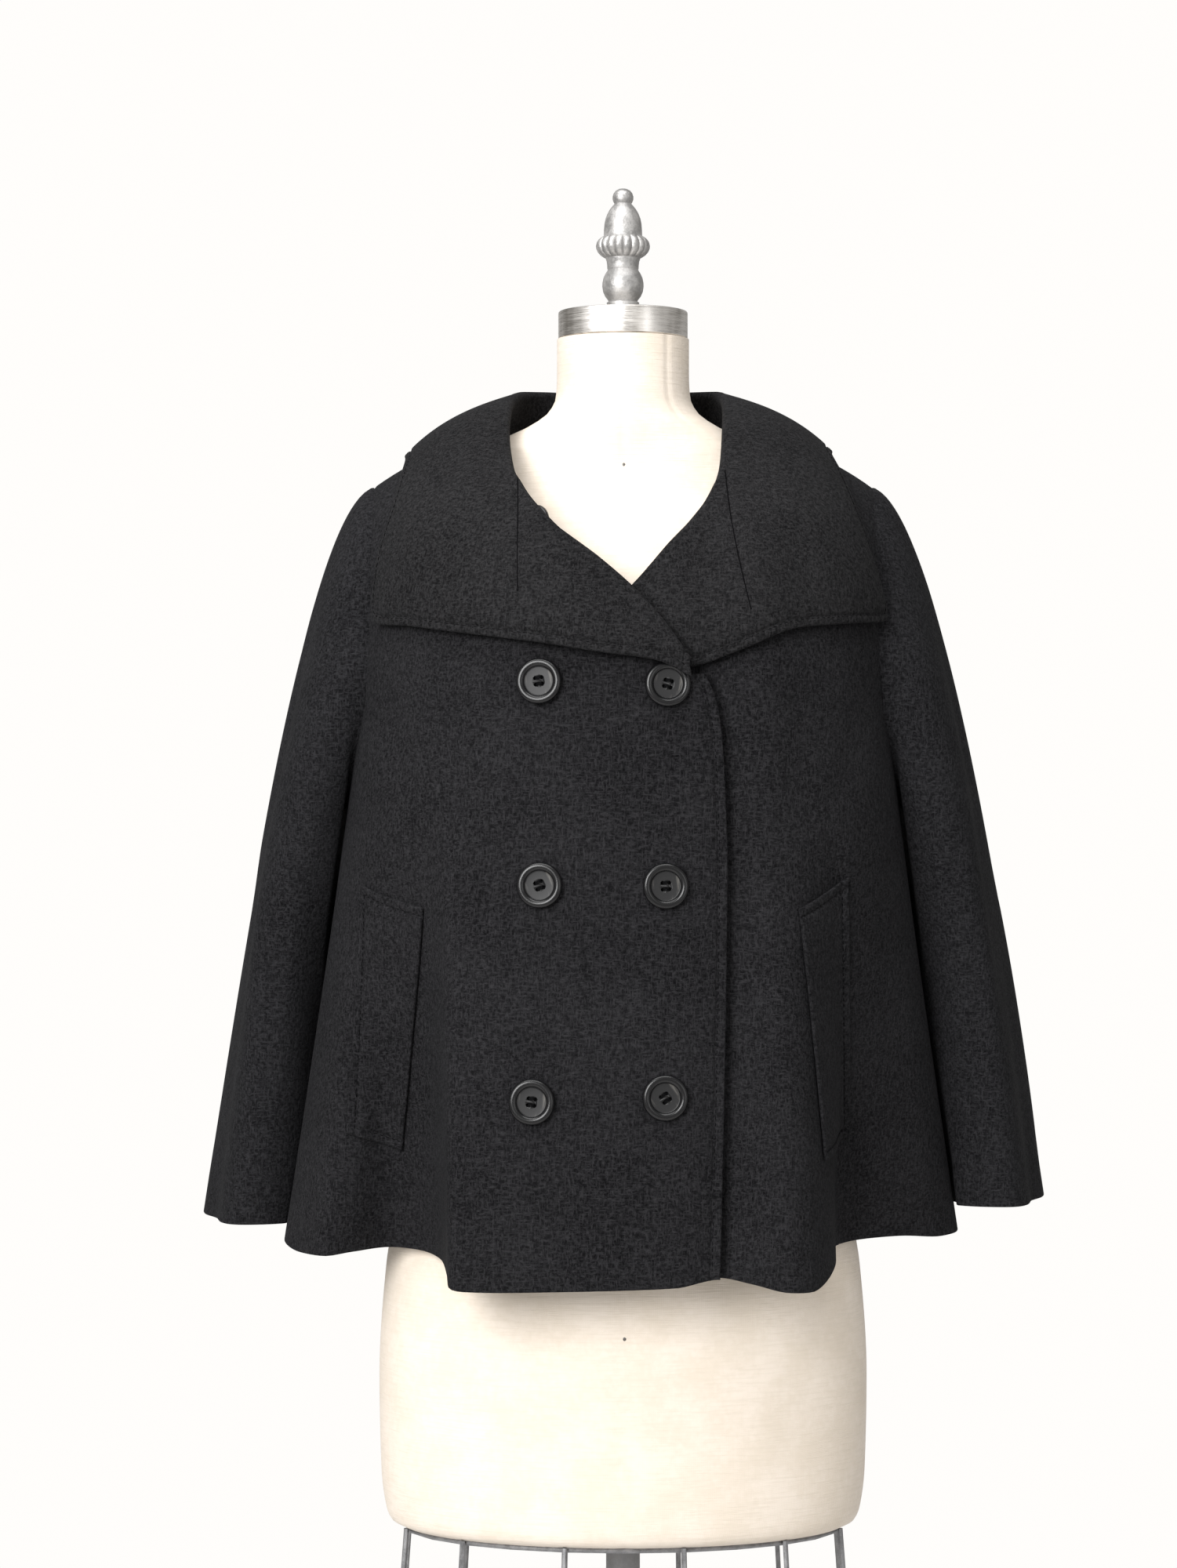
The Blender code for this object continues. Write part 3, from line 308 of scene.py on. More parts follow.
# Columns: height, half_width, front, back
BODY_SECTIONS = (
    (1.4734, 0.0488, 0.0488, 0.0488),
    (1.4470, 0.0488, 0.0490, 0.0490),
    (1.4300, 0.0498, 0.0495, 0.0495),
    (1.4190, 0.0555, 0.0495, 0.0495),
    (1.4105, 0.0670, 0.0500, 0.0500),
    (1.4045, 0.0790, 0.0505, 0.0500),
    (1.3985, 0.0955, 0.0505, 0.0505),
    (1.3900, 0.1190, 0.0510, 0.0505),
    (1.3790, 0.1420, 0.0520, 0.0510),
    (1.3660, 0.1620, 0.0560, 0.0550),
    (1.3520, 0.1730, 0.0630, 0.0610),
    (1.3300, 0.1745, 0.0760, 0.0710),
    (1.2900, 0.1680, 0.0980, 0.0860),
    (1.2400, 0.1560, 0.1240, 0.1010),
    (1.1900, 0.1450, 0.1220, 0.0980),
    (1.1200, 0.1300, 0.1050, 0.0900),
    (1.0300, 0.1200, 0.0930, 0.0850),
    (0.9500, 0.1350, 0.1000, 0.0980),
    (0.8700, 0.1570, 0.1080, 0.1150),
    (0.7900, 0.1750, 0.1140, 0.1240),
    (0.7100, 0.1800, 0.1160, 0.1230),
    (0.6400, 0.1785, 0.1150, 0.1180),
    (0.6150, 0.1755, 0.1130, 0.1150),
    (0.6040, 0.1715, 0.1095, 0.1115),
    (0.6000, 0.1640, 0.1025, 0.1045),
)
BODY_SHOULDERS = (1.340, 1.408)
BODY_SHOULDER_FADE = (0.02, 0.01)
BODY_SHOULDER_ROUND = 1.7
LINEN_LIGHT = (0.760, 0.680, 0.592)
LINEN_DARK = (0.640, 0.565, 0.470)
# Degrees round the body, from the wearer's left towards the back
BODY_SEAMS = (270.0, 311.0, 229.0, 50.0, 130.0, 90.0)
SEAM_REACH = 0.00176
SEAM_DEPTH = 0.0009

# The coat's yoke over the body: a dome between the chest section and the shoulder line
CHEST_Z = 1.200
CHEST_HALF = 0.197
CHEST_FRONT = 0.150
CHEST_BACK = 0.128
SECTION_ROUND = 2.3
DOME_ROUND = 1.8
RIDGE_Z = 1.410
SHOULDER_X = 0.184
SHOULDER_Z = 1.364
RIDGE_BEND = 2.9
DOME_FARTHEST = 0.5
DOME_HALVINGS = 36
CHEST_MIDDLE = np.array((0.0, 0.0, CHEST_Z))
# Columns: out, y, height, from the front corner across the middle to the centre back
NECKLINE = (
    (-0.0440, -0.1460, 1.2220),
    (-0.0220, -0.1470, 1.2335),
    (0.0020, -0.1460, 1.2480),
    (0.0280, -0.1410, 1.2680),
    (0.0550, -0.1300, 1.2950),
    (0.0710, -0.1130, 1.3200),
    (0.0790, -0.1000, 1.3360),
    (0.0860, -0.0850, 1.3540),
    (0.0925, -0.0480, 1.3850),
    (0.0950, 0.0000, 1.4030),
    (0.0880, 0.0320, 1.3960),
    (0.0640, 0.0560, 1.3880),
    (0.0330, 0.0660, 1.3860),
    (0.0000, 0.0675, 1.3850),
)
NECK_SHOULDER = 9
BODY_COVERED = 0.95
BODY_BARE = 0.55
BODY_NECK_FREE = 0.020
BODY_CLEAR = 0.0046


def fair(keys, values):
    """A smooth curve through the rows of a table, without overshoot between them"""
    keys = np.asarray(keys, float)
    values = np.asarray(values, float)
    steps = np.diff(keys)[:, None]
    slopes = np.diff(values, axis=0) / steps
    tangents = np.zeros_like(values)
    tangents[0] = slopes[0]
    tangents[-1] = slopes[-1]
    before, after = slopes[:-1], slopes[1:]
    same = before * after > 0
    weight_a = 2 * steps[1:] + steps[:-1]
    weight_b = steps[1:] + 2 * steps[:-1]
    mean = (weight_a + weight_b) / (weight_a / np.where(same, before, 1.0)
                                    + weight_b / np.where(same, after, 1.0))
    tangents[1:-1] = np.where(same, mean, 0.0)

    def read(key):
        key = np.asarray(key, float)
        i = np.clip(np.searchsorted(keys, key) - 1, 0, len(keys) - 2)
        step = (keys[i + 1] - keys[i])[..., None]
        t = np.clip((key - keys[i])[..., None] / step, 0.0, 1.0)
        return ((2 * t**3 - 3 * t**2 + 1) * values[i] + (t**3 - 2 * t**2 + t) * step * tangents[i]
                + (3 * t**2 - 2 * t**3) * values[i + 1] + (t**3 - t**2) * step * tangents[i + 1])
    return read


def ease(amount):
    """0 to 1 with soft ends"""
    amount = np.clip(amount, 0.0, 1.0)
    return amount * amount * (3 - 2 * amount)


def square_off(values, bend):
    """Sines or cosines bent so that their circle becomes squarer, or pointed"""
    return np.sign(values) * np.abs(values) ** bend


def ridge(x):
    """Height of the shoulder line"""
    return RIDGE_Z - (RIDGE_Z - SHOULDER_Z) * (np.abs(x) / SHOULDER_X) ** RIDGE_BEND


def dome_reach(directions):
    """How far the yoke's face lies from the chest's middle, for an array of directions"""
    low = np.zeros(len(directions))
    high = np.full(len(directions), DOME_FARTHEST)
    depth = np.where(directions[:, 1] < 0, CHEST_FRONT, CHEST_BACK)
    for _ in range(DOME_HALVINGS):
        reach = (low + high) / 2
        x, y, up = (directions * reach[:, None]).T
        share = np.clip(np.abs(x) / CHEST_HALF, 0, 0.999999)
        here = depth * (1 - share**SECTION_ROUND) ** (1 / SECTION_ROUND)
        rise = np.clip(up / (ridge(x) - CHEST_Z), 0, None)
        inside = ((np.abs(x) < CHEST_HALF)
                  & ((np.abs(y) / here) ** DOME_ROUND + rise**DOME_ROUND < 1))
        low = np.where(inside, reach, low)
        high = np.where(inside, high, reach)
    return low


def on_dome(guesses, lift=0.0):
    """The places on the yoke's face in line with guesses, lifted off it"""
    away = np.asarray(guesses, float).reshape(-1, 3) - CHEST_MIDDLE
    away /= np.linalg.norm(away, axis=1)[:, None]
    return CHEST_MIDDLE + away * (dome_reach(away) + lift)[:, None]


NECK_LINE = fair(range(len(NECKLINE)), NECKLINE)


def neck_places(rows):
    """The coat's neckline at table rows or between them"""
    return on_dome([NECK_LINE(row) for row in rows])


def keep_under_coat(places):
    """Keeps the body's shoulders clear of the cloth over them"""
    away = places - CHEST_MIDDLE
    length = np.linalg.norm(away, axis=1)
    neck = neck_places(np.arange(2, len(NECKLINE) - 0.5, 0.5))
    reach = np.interp(np.arctan2(places[:, 1], np.abs(places[:, 0])),
                      np.arctan2(neck[:, 1], neck[:, 0]), np.hypot(neck[:, 0], neck[:, 1]))
    covered = np.hypot(places[:, 0], places[:, 1]) / reach
    bare = ease((BODY_COVERED - covered) / (BODY_COVERED - BODY_BARE))
    clear = BODY_CLEAR - BODY_NECK_FREE * bare
    most = (dome_reach(away / length[:, None]) - clear) / length
    at_shoulders = (places[:, 2] > CHEST_Z) & (places[:, 2] < RIDGE_Z)
    return CHEST_MIDDLE + away * np.where(at_shoulders, np.minimum(1.0, most), 1.0)[:, None]


def build_padded_body(linen):
    """The body's skin, with its sewn seams let in"""
    sections = fair([-row[0] for row in BODY_SECTIONS], [row[1:] for row in BODY_SECTIONS])
    low, high = BODY_SECTIONS[-1][0], BODY_SECTIONS[0][0]
    turns = 2 * np.pi * np.arange(BODY_AROUND) / BODY_AROUND
    rounding = np.linspace(0, 1, BODY_FOOT_ROWS)[1:] ** 2 * BODY_FOOT
    heights = np.concatenate((np.linspace(high, low + BODY_FOOT, BODY_ROWS),
                              low + BODY_FOOT - rounding))
    rings = []
    for z in heights:
        half, front, back = sections(-z)
        shoulder = (ease((z - BODY_SHOULDERS[0]) / BODY_SHOULDER_FADE[0])
                    * ease((BODY_SHOULDERS[1] - z) / BODY_SHOULDER_FADE[1]))
        bend = 2 / (2 + (BODY_SHOULDER_ROUND - 2) * shoulder)
        across = square_off(np.cos(turns), bend)
        forward = square_off(np.sin(turns), bend)
        depth = np.where(forward < 0, front, back)
        rings.append(np.stack((half * across, depth * forward, np.full(BODY_AROUND, z)), 1))
    rings = np.array(rings)
    rings = keep_under_coat(rings.reshape(-1, 3)).reshape(rings.shape)
    reach = np.hypot(rings[:, :, 0], rings[:, :, 1])
    for seam in BODY_SEAMS:
        apart = (turns - math.radians(seam) + np.pi) % (2 * np.pi) - np.pi
        dent = SEAM_DEPTH * np.exp(-(apart[None, :] * reach / SEAM_REACH) ** 2)
        rings[:, :, :2] *= (1 - dent / reach)[:, :, None]
    shape = bmesh.new()
    loops = [[shape.verts.new(place) for place in ring] for ring in rings]
    join_rings(shape, loops[::-1])
    return show(mesh_of("padded_body", shape), linen, 60)


weave, weave_in, weave_out = start_group(
    "Plain weave",
    (("Place", "NodeSocketVector", None), ("Threads", "NodeSocketFloat", 1200.0)),
    (("Height", "NodeSocketFloat"), ("Slub", "NodeSocketFloat")))
weave_split = add_node(weave, "ShaderNodeSeparateXYZ")
weave.links.new(weave_in.outputs["Place"], weave_split.inputs["Vector"])
weave_around = combine(weave, "MULTIPLY_ADD", weave_split.outputs["Y"], -0.35,
                       weave_split.outputs["X"])
weave_waves = []
for along_threads in (weave_around, weave_split.outputs["Z"]):
    turns = combine(weave, "MULTIPLY", combine(weave, "MULTIPLY", along_threads,
                                               weave_in.outputs["Threads"]), math.pi)
    weave_waves.append(combine(weave, "ABSOLUTE", combine(weave, "SINE", turns)))
weave.links.new(combine(weave, "MAXIMUM", *weave_waves), weave_out.inputs["Height"])
slub_place = stretch(weave, weave_in.outputs["Place"], (1.0, 1.0, 14.0))
weave.links.new(remap(weave, noise(weave, slub_place, 45.0, 3.0), 0.42, 0.72),
                weave_out.inputs["Slub"])

linen_cover, linen_tree, linen_shader = start_material(
    "cream_linen", Roughness=0.88, Sheen_Weight=0.15, Sheen_Roughness=0.5,
    Specular_IOR_Level=0.25)
linen_place = object_place(linen_tree)
linen_cloth = place_group(linen_tree, mottle, Place=linen_place, Scale=26.0,
                          Dark=(0.700, 0.618, 0.520), Light=LINEN_LIGHT)
linen_weave = place_group(linen_tree, weave, Place=linen_place, Threads=1150.0)
linen_slubs = combine(linen_tree, "MULTIPLY", linen_weave.outputs["Slub"], 0.35)
linen_colour = blend_colours(linen_tree, linen_slubs, linen_cloth.outputs["Colour"], LINEN_DARK)
linen_tree.links.new(linen_colour, linen_shader.inputs["Base Color"])
linen_relief = combine(linen_tree, "MULTIPLY_ADD", linen_weave.outputs["Slub"], 1.2,
                       linen_weave.outputs["Height"])
bump(linen_tree, linen_shader, linen_relief, 0.35, 0.00025)

padded_body = build_padded_body(linen_cover)
stands_for(padded_body, "cream_linen", "form_torso")


# The body's guide dots
# Two small round tacks on the centre front, one at the neck and one low on the hips, pressed
# through the linen.

DOT_HEIGHTS = (1.3770, 0.7510)
DOT_RADIUS = 0.0013
DOT_RISE = 0.0004

tack_dark = mottled("tack_dark", 900.0, (0.05, 0.045, 0.04), (0.12, 0.11, 0.10), Roughness=0.5)
for number, dot_z in enumerate(DOT_HEIGHTS, 1):
    _, dot_place, dot_normal, _ = padded_body.ray_cast(Vector((0.0, -0.5, dot_z)),
                                                         Vector((0.0, 1.0, 0.0)))
    tack = turn_on_lathe(f"guide_dot_{number}", (
        (DOT_RADIUS, -DOT_RISE), (DOT_RADIUS, DOT_RISE * 0.3),
        (DOT_RADIUS * 0.7, DOT_RISE * 0.8), (DOT_RADIUS * 0.2, DOT_RISE)), 20, tack_dark)
    tack.location = dot_place
    tack.rotation_mode = "QUATERNION"
    tack.rotation_quaternion = dot_normal.to_track_quat("Z", "Y")
    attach(tack, "root")


# The neck cap
# A spun steel lid with a rolled edge, brushed round its side, pressed over the neck's top. Broad
# light and dark bands round its side are painted reflections in its colour.

CAP_SIDES = 144
cap_low, cap_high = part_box("form_neck_cap")
CAP_RADIUS = 0.0478
CAP_ROLL = 0.0012
CAP_HOLE = 0.0150
# The two ends of the cap's colour, for its brushed grain and for its painted reflections
STEEL_DARK_GRAIN_AND_REFLECTION = (0.28, 0.262, 0.238)
STEEL_LIGHT_GRAIN_AND_REFLECTION = (0.84, 0.81, 0.775)

quarter = [math.radians(15 * k) for k in range(7)]
cap_outline = [(CAP_RADIUS - CAP_ROLL * (1 - math.sin(turn)),
                cap_low.z + CAP_ROLL * (1 - math.cos(turn))) for turn in quarter]
cap_outline += [(CAP_RADIUS - CAP_ROLL * (1 - math.cos(turn)),
                 cap_high.z - CAP_ROLL * (1 - math.sin(turn))) for turn in quarter]
cap_outline.append((CAP_HOLE, cap_high.z))

brushed_steel, steel_tree, steel_shader = start_material(
    "brushed_cap_steel", Metallic=1.0, Anisotropic=0.6)
steel_place = object_place(steel_tree)
steel_brush = noise(steel_tree, stretch(steel_tree, steel_place, (6.0, 6.0, 160.0)), 9.0, 5.0, 0.7)
steel_cloud = noise(steel_tree, steel_place, 28.0)
# Slow light and dark bands round the cap: painted reflections, mixed with the brushed grain
painted_reflection_bands = noise(steel_tree, stretch(steel_tree, steel_place, (1.0, 1.0, 0.12)), 62.0)
steel_grain_and_reflections = weigh(steel_tree, (steel_brush, 0.38), (steel_cloud, 0.12), (painted_reflection_bands, 0.50))
steel_colour_and_reflections = blend_colours(steel_tree, remap(steel_tree, steel_grain_and_reflections, 0.33, 0.62),
                             STEEL_DARK_GRAIN_AND_REFLECTION, STEEL_LIGHT_GRAIN_AND_REFLECTION)
steel_tree.links.new(steel_colour_and_reflections, steel_shader.inputs["Base Color"])
steel_tree.links.new(combine(steel_tree, "MULTIPLY_ADD", steel_brush, 0.30, 0.14),
                     steel_shader.inputs["Roughness"])
bump(steel_tree, steel_shader, steel_brush, 0.12, 0.0002)

neck_cap = turn_on_lathe("neck_cap", cap_outline, CAP_SIDES, brushed_steel)
stands_for(neck_cap, "cap_steel", "form_neck_cap")


# The finial
# A cast and turned knob, painted silver over a rough cast, screwed into the cap: a ball at
# the foot, a fluted collar, an egg above it and a small ball on top.

FINIAL_SIDES = 180
finial_low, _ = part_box("form_finial")
# Columns: radius, height above the cap
FINIAL_OUTLINE = (
    (0.0120, 0.0000),
    (0.0120, 0.0067),
    (0.0106, 0.0075),
    (0.0112, 0.0087),
    (0.0132, 0.0113),
    (0.0147, 0.0147),
    (0.0153, 0.0185),
    (0.0152, 0.0215),
    (0.0144, 0.0251),
    (0.0130, 0.0281),
    (0.0117, 0.0301),
    (0.0113, 0.0311),
    (0.0116, 0.0319),
    (0.0117, 0.0345),
    (0.0121, 0.0373),
    (0.0126, 0.0385),
    (0.0127, 0.0395),
    (0.0145, 0.0404),
    (0.0168, 0.0419),
    (0.0187, 0.0441),
    (0.0198, 0.0467),
    (0.0200, 0.0487),
    (0.0193, 0.0515),
    (0.0178, 0.0537),
    (0.0158, 0.0551),
    (0.0144, 0.0557),
    (0.0142, 0.0567),
    (0.0141, 0.0605),
    (0.0137, 0.0651),
    (0.0129, 0.0689),
    (0.0116, 0.0723),
    (0.0098, 0.0755),
    (0.0078, 0.0781),
    (0.0065, 0.0795),
    (0.0063, 0.0801),
    (0.0070, 0.0811),
    (0.0077, 0.0831),
    (0.0077, 0.0851),
    (0.0070, 0.0875),
    (0.0054, 0.0895),
    (0.0030, 0.0908),
    (0.0006, 0.0911),
)
FLUTES = 18
FLUTE_DEPTH = 0.0019
FLUTE_FROM = 0.0397
FLUTE_TO = 0.0555


def finial_flutes(heights, turns):
    """Hollows between the ribs of the finial's collar"""
    middle = (FLUTE_FROM + FLUTE_TO) / 2
    half = (FLUTE_TO - FLUTE_FROM) / 2
    rise = np.clip(1 - ((heights - middle) / half) ** 2, 0, 1) ** 0.5
    return FLUTE_DEPTH * rise * (1 - np.abs(np.cos(turns * FLUTES / 2)) ** 0.55)


silver_paint, silver_tree, silver_shader = start_material("finial_silver", Metallic=0.75)
silver_place = object_place(silver_tree)
silver_skin = place_group(silver_tree, mottle, Place=silver_place, Scale=110.0,
                          Dark=(0.30, 0.295, 0.29), Light=(0.50, 0.49, 0.48))
silver_wear = remap(silver_tree, noise(silver_tree, silver_place, 700.0, 4.0, 0.7), 0.60, 0.85)
silver_colour = blend_colours(silver_tree, silver_wear, silver_skin.outputs["Colour"],
                              (0.13, 0.13, 0.135))
silver_tree.links.new(silver_colour, silver_shader.inputs["Base Color"])
silver_rough = combine(silver_tree, "MULTIPLY_ADD", silver_skin.outputs["Mask"], 0.18, 0.34)
silver_tree.links.new(silver_rough, silver_shader.inputs["Roughness"])
bump(silver_tree, silver_shader, silver_skin.outputs["Height"], 0.35, 0.0007)

finial = turn_on_lathe("finial", FINIAL_OUTLINE, FINIAL_SIDES, silver_paint, finial_flutes)
finial.location = (0.0, 0.0, finial_low.z)
stands_for(finial, "finial_silver", "form_finial")


# The coat's back
# Thick charcoal melton wool, cut in one piece with a flared skirt that falls in deep flutes.
# It joins the fronts at the shoulders and sides, and its neckline holds the collar.

CLOTH = 0.0025
SEAM = 0.0003
FLAT_HEM_Z = 0.800
FLAT_HEM_HALF = 0.235
FLAT_HEM_FRONT = 0.160
FLAT_HEM_BACK = 0.175
FOLD_GROWTH = 1.15
# Columns: girth angle, out, forward, height, fold_start
HEM_LEFT = (
    (0, 0.0000, 0.1680, 0.7925, 1.10),
    (10, 0.0360, 0.1670, 0.7940, 1.10),
    (17.4, 0.0665, 0.1600, 0.7990, 1.10),
    (22, 0.0880, 0.1600, 0.7955, 1.10),
    (27, 0.1120, 0.1675, 0.7910, 1.12),
    (31, 0.1305, 0.1580, 0.7900, 1.12),
    (35, 0.1455, 0.1300, 0.7975, 1.12),
    (39, 0.1515, 0.1000, 0.8040, 1.12),
    (44, 0.1530, 0.0670, 0.8095, 1.12),
    (50, 0.1660, 0.0500, 0.8125, 1.10),
    (60, 0.2020, 0.0350, 0.8145, 1.10),
    (71, 0.2350, 0.0140, 0.8120, 1.12),
    (79, 0.2505, -0.0160, 0.8130, 1.13),
    (85, 0.2400, -0.0420, 0.8150, 1.13),
    (90, 0.2180, -0.0600, 0.8165, 1.13),
    (97, 0.2080, -0.0880, 0.8170, 1.12),
    (105, 0.2120, -0.1220, 0.8165, 1.12),
    (113, 0.2150, -0.1550, 0.8150, 1.10),
    (121, 0.1920, -0.1800, 0.8130, 1.10),
    (131, 0.1600, -0.1680, 0.8130, 1.08),
    (142, 0.1200, -0.1860, 0.8110, 1.08),
    (155, 0.0780, -0.1760, 0.8110, 1.06),
    (168, 0.0360, -0.1940, 0.8100, 1.08),
    (180, 0.0000, -0.1860, 0.8100, 1.08),
)
HEM_RIGHT = (
    (12, 0.0450, 0.1685, 0.7915, 1.10),
    (24, 0.0880, 0.1685, 0.7910, 1.10),
    (31, 0.1130, 0.1675, 0.7915, 1.14),
    (34.5, 0.1225, 0.1600, 0.7925, 1.14),
    (38, 0.1255, 0.1280, 0.7975, 1.14),
    (42, 0.1310, 0.0950, 0.8040, 1.14),
    (47, 0.1480, 0.0700, 0.8085, 1.12),
    (53, 0.1700, 0.0600, 0.8095, 1.10),
    (60, 0.1960, 0.0760, 0.8080, 1.10),
    (66, 0.2145, 0.0830, 0.8060, 1.10),
    (73, 0.2355, 0.0600, 0.8060, 1.12),
    (80, 0.2500, 0.0180, 0.8100, 1.13),
    (85, 0.2410, -0.0200, 0.8125, 1.13),
    (90, 0.2180, -0.0480, 0.8150, 1.13),
    (97, 0.2070, -0.0800, 0.8160, 1.12),
    (105, 0.2110, -0.1150, 0.8160, 1.12),
    (113, 0.2160, -0.1500, 0.8150, 1.10),
    (121, 0.1960, -0.1780, 0.8130, 1.10),
    (131, 0.1580, -0.1720, 0.8120, 1.08),
    (143, 0.1180, -0.1880, 0.8110, 1.08),
    (156, 0.0720, -0.1780, 0.8110, 1.06),
    (168, 0.0340, -0.1900, 0.8100, 1.08),
    (180, 0.0000, -0.1860, 0.8100, 1.08),
)
# Columns: girth angle, height, from the shoulder point to the underarm
ARMHOLE = (
    (67.55, 1.3640),
    (67.55, 1.3300),
    (67.60, 1.2850),
    (68.50, 1.2420),
    (71.50, 1.2000),
    (76.50, 1.1640),
    (83.00, 1.1400),
    (90.00, 1.1320),
)
PANEL_EASE = 0.150
ARMHOLE_EASE = 0.130
NECK_FOOT_END = 32.0
SHOULDER_FOOT_END = 44.0
ARMHOLE_FOOT_BEND = 1.15
BACK_NECK_LINES = 40
PANEL_ROWS = 421
SHOULDER_LINES = 60
ARMHOLE_LINES = 90
SHOULDER_SET_BACK = SEAM / 2 + CLOTH * 0.35
SHOULDER_SET_REACH = 0.006
CENTRE_BACK = len(NECKLINE) - 1
BACK_STEEP = 11
NECK_FOOT_BACK = fair((NECK_SHOULDER, BACK_STEEP, CENTRE_BACK), ((NECK_FOOT_END,), (17.0,), (0.0,)))
ARMHOLE_LINE = fair(range(len(ARMHOLE)), ARMHOLE)
HEM_LINE = fair([-row[0] for row in HEM_RIGHT[::-1]] + [row[0] for row in HEM_LEFT],
                [(-row[1], *row[2:]) for row in HEM_RIGHT[::-1]] + [row[1:] for row in HEM_LEFT])
# Distances from an edge at which the cloth has its own rows of points
PLAIN_EDGE = (0.0, 0.00012, 0.0004, 0.0009, 0.0015, 0.0030)
STITCHED_EDGE = PLAIN_EDGE[:-1] + (0.0026, 0.0042, 0.0054, 0.0062, 0.0068, 0.0074, 0.0082,
                                   0.0096)
TOPSTITCH = 0.0068
STITCH_DENT = 0.0011
STITCH_HALF = 0.0013
WELD = 2e-6
# Points between the edge rows: across, down
BACK_POINTS = (196, 170)
# Columns: x_top, z_top, x_low, z_low, width, depth (below 0 stands proud)
BACK_FOLDS = (
    (-0.060, 1.330, -0.110, 1.230, 0.018, 0.0022),
    (0.066, 1.325, 0.120, 1.215, 0.016, 0.0020),
    (-0.020, 1.150, -0.030, 0.900, 0.020, 0.0018),
    (0.030, 1.180, 0.044, 0.930, 0.022, -0.0020),
    (0.120, 1.120, 0.128, 0.940, 0.016, 0.0020),
    (-0.105, 1.140, -0.120, 0.950, 0.018, -0.0016),
    (-0.150, 1.230, -0.120, 1.170, 0.014, 0.0016),
    (0.155, 1.225, 0.125, 1.160, 0.014, 0.0018),
)


def coat_face(angles, heights):
    """The coat's outer face at girth angles and heights"""
    angles, heights = np.broadcast_arrays(np.asarray(angles, float), np.asarray(heights, float))
    turns = np.radians(angles)
    bend = 2 / SECTION_ROUND
    across = square_off(np.sin(turns), bend)
    forward = square_off(np.cos(turns), bend)
    depth = np.where(forward >= 0, CHEST_FRONT, CHEST_BACK)
    up = np.clip((heights - CHEST_Z) / (ridge(CHEST_HALF * across) - CHEST_Z), 0, 1)
    out = (1 - up**DOME_ROUND) ** (1 / DOME_ROUND)
    hem_depth = np.where(forward >= 0, FLAT_HEM_FRONT, FLAT_HEM_BACK)
    down = np.clip((CHEST_Z - heights) / (CHEST_Z - FLAT_HEM_Z), 0, None)
    hem_x, hem_forward, hem_z, start = np.moveaxis(HEM_LINE(angles), -1, 0)
    grown = np.clip((start - heights) / (start - hem_z), 0, None) ** FOLD_GROWTH
    x = (CHEST_HALF + (FLAT_HEM_HALF - CHEST_HALF) * down) * across
    x = x + grown * (hem_x - FLAT_HEM_HALF * across)
    y = -(depth + (hem_depth - depth) * down) * forward * out
    y = y + grown * (hem_depth * forward - hem_forward)
    return np.stack((x, y, heights), -1)


def girth_angle(x):
    """The girth angle of a place on the yoke's front, from how far out it is"""
    turn = np.degrees(np.arcsin(np.clip(np.abs(x) / CHEST_HALF, 0, 1) ** (SECTION_ROUND / 2)))
    return np.sign(x) * turn


def shoulder_and_armhole():
    """A half panel's lines along its shoulder and armhole: angle, height, foot, ease, square"""
    part = np.arange(SHOULDER_LINES) / SHOULDER_LINES
    neck_out = NECKLINE[NECK_SHOULDER][0]
    out = neck_out + (SHOULDER_X - neck_out) * part
    shoulder = np.stack((girth_angle(out), ridge(out),
                         NECK_FOOT_END + (SHOULDER_FOOT_END - NECK_FOOT_END) * part,
                         np.full_like(part, PANEL_EASE), np.ones_like(part)), 1)
    part = np.arange(ARMHOLE_LINES + 1) / ARMHOLE_LINES
    hole = ARMHOLE_LINE(part * (len(ARMHOLE) - 1))
    foot = SHOULDER_FOOT_END + (90 - SHOULDER_FOOT_END) * part**ARMHOLE_FOOT_BEND
    armhole = np.stack((hole[:, 0], hole[:, 1], foot, np.full_like(part, ARMHOLE_EASE),
                        np.ones_like(part)), 1)
    return np.concatenate((shoulder, armhole))


def panel_grid(face, lines):
    """Lines of cloth from a panel's top edge down to the hem"""
    angle, top, foot, easing, square = (column[:, None] for column in lines.T)
    foot_z = HEM_LINE(lines[:, 2])[:, 2][:, None]
    heights = top + (foot_z - top) * (np.arange(PANEL_ROWS) / (PANEL_ROWS - 1)) ** 2
    power = 1 - 0.5 * square
    lean = np.exp(-(np.clip(top - heights, 0, None) / easing) ** power)
    end = np.exp(-((top - foot_z) / easing) ** power)
    return face(foot + (angle - foot) * (lean - end) / (1 - end), heights)


def half_panel(face, half, side, away):
    """One side of a panel, set back from its shoulder and side seams by half their gap"""
    lines = half * (side, 1, side, 1, 1)
    grid = panel_grid(face, lines)
    on_ridge = lines[:, 1] >= ridge(grid[:, 0, 0]) - 1e-6
    far = np.linalg.norm(grid - grid[:, :1], axis=2)
    fall = np.where(on_ridge, 1.0, 0.0)[:, None] * (1 - np.clip(far / SHOULDER_SET_REACH, 0, 1))
    grid[:, :, 1] += away * fall * SHOULDER_SET_BACK
    grid[-1, :, 1] += away * SEAM / 2
    return grid


def neck_half(rows, foot, square):
    """A half panel's lines along the neckline, as for its shoulder and armhole"""
    neck = neck_places(rows)
    return np.stack((girth_angle(neck[:, 0]), neck[:, 2], foot(rows)[:, 0],
                     np.full_like(rows, PANEL_EASE), square), 1)


def run_length(line):
    """How far along a line each of its points lies"""
    return np.concatenate(((0.0,), np.cumsum(np.linalg.norm(np.diff(line, axis=0), axis=1))))


def points_at(line, length, places):
    """The points of a line at distances along it"""
    return np.stack([np.interp(places, length, line[:, k]) for k in range(3)], -1)


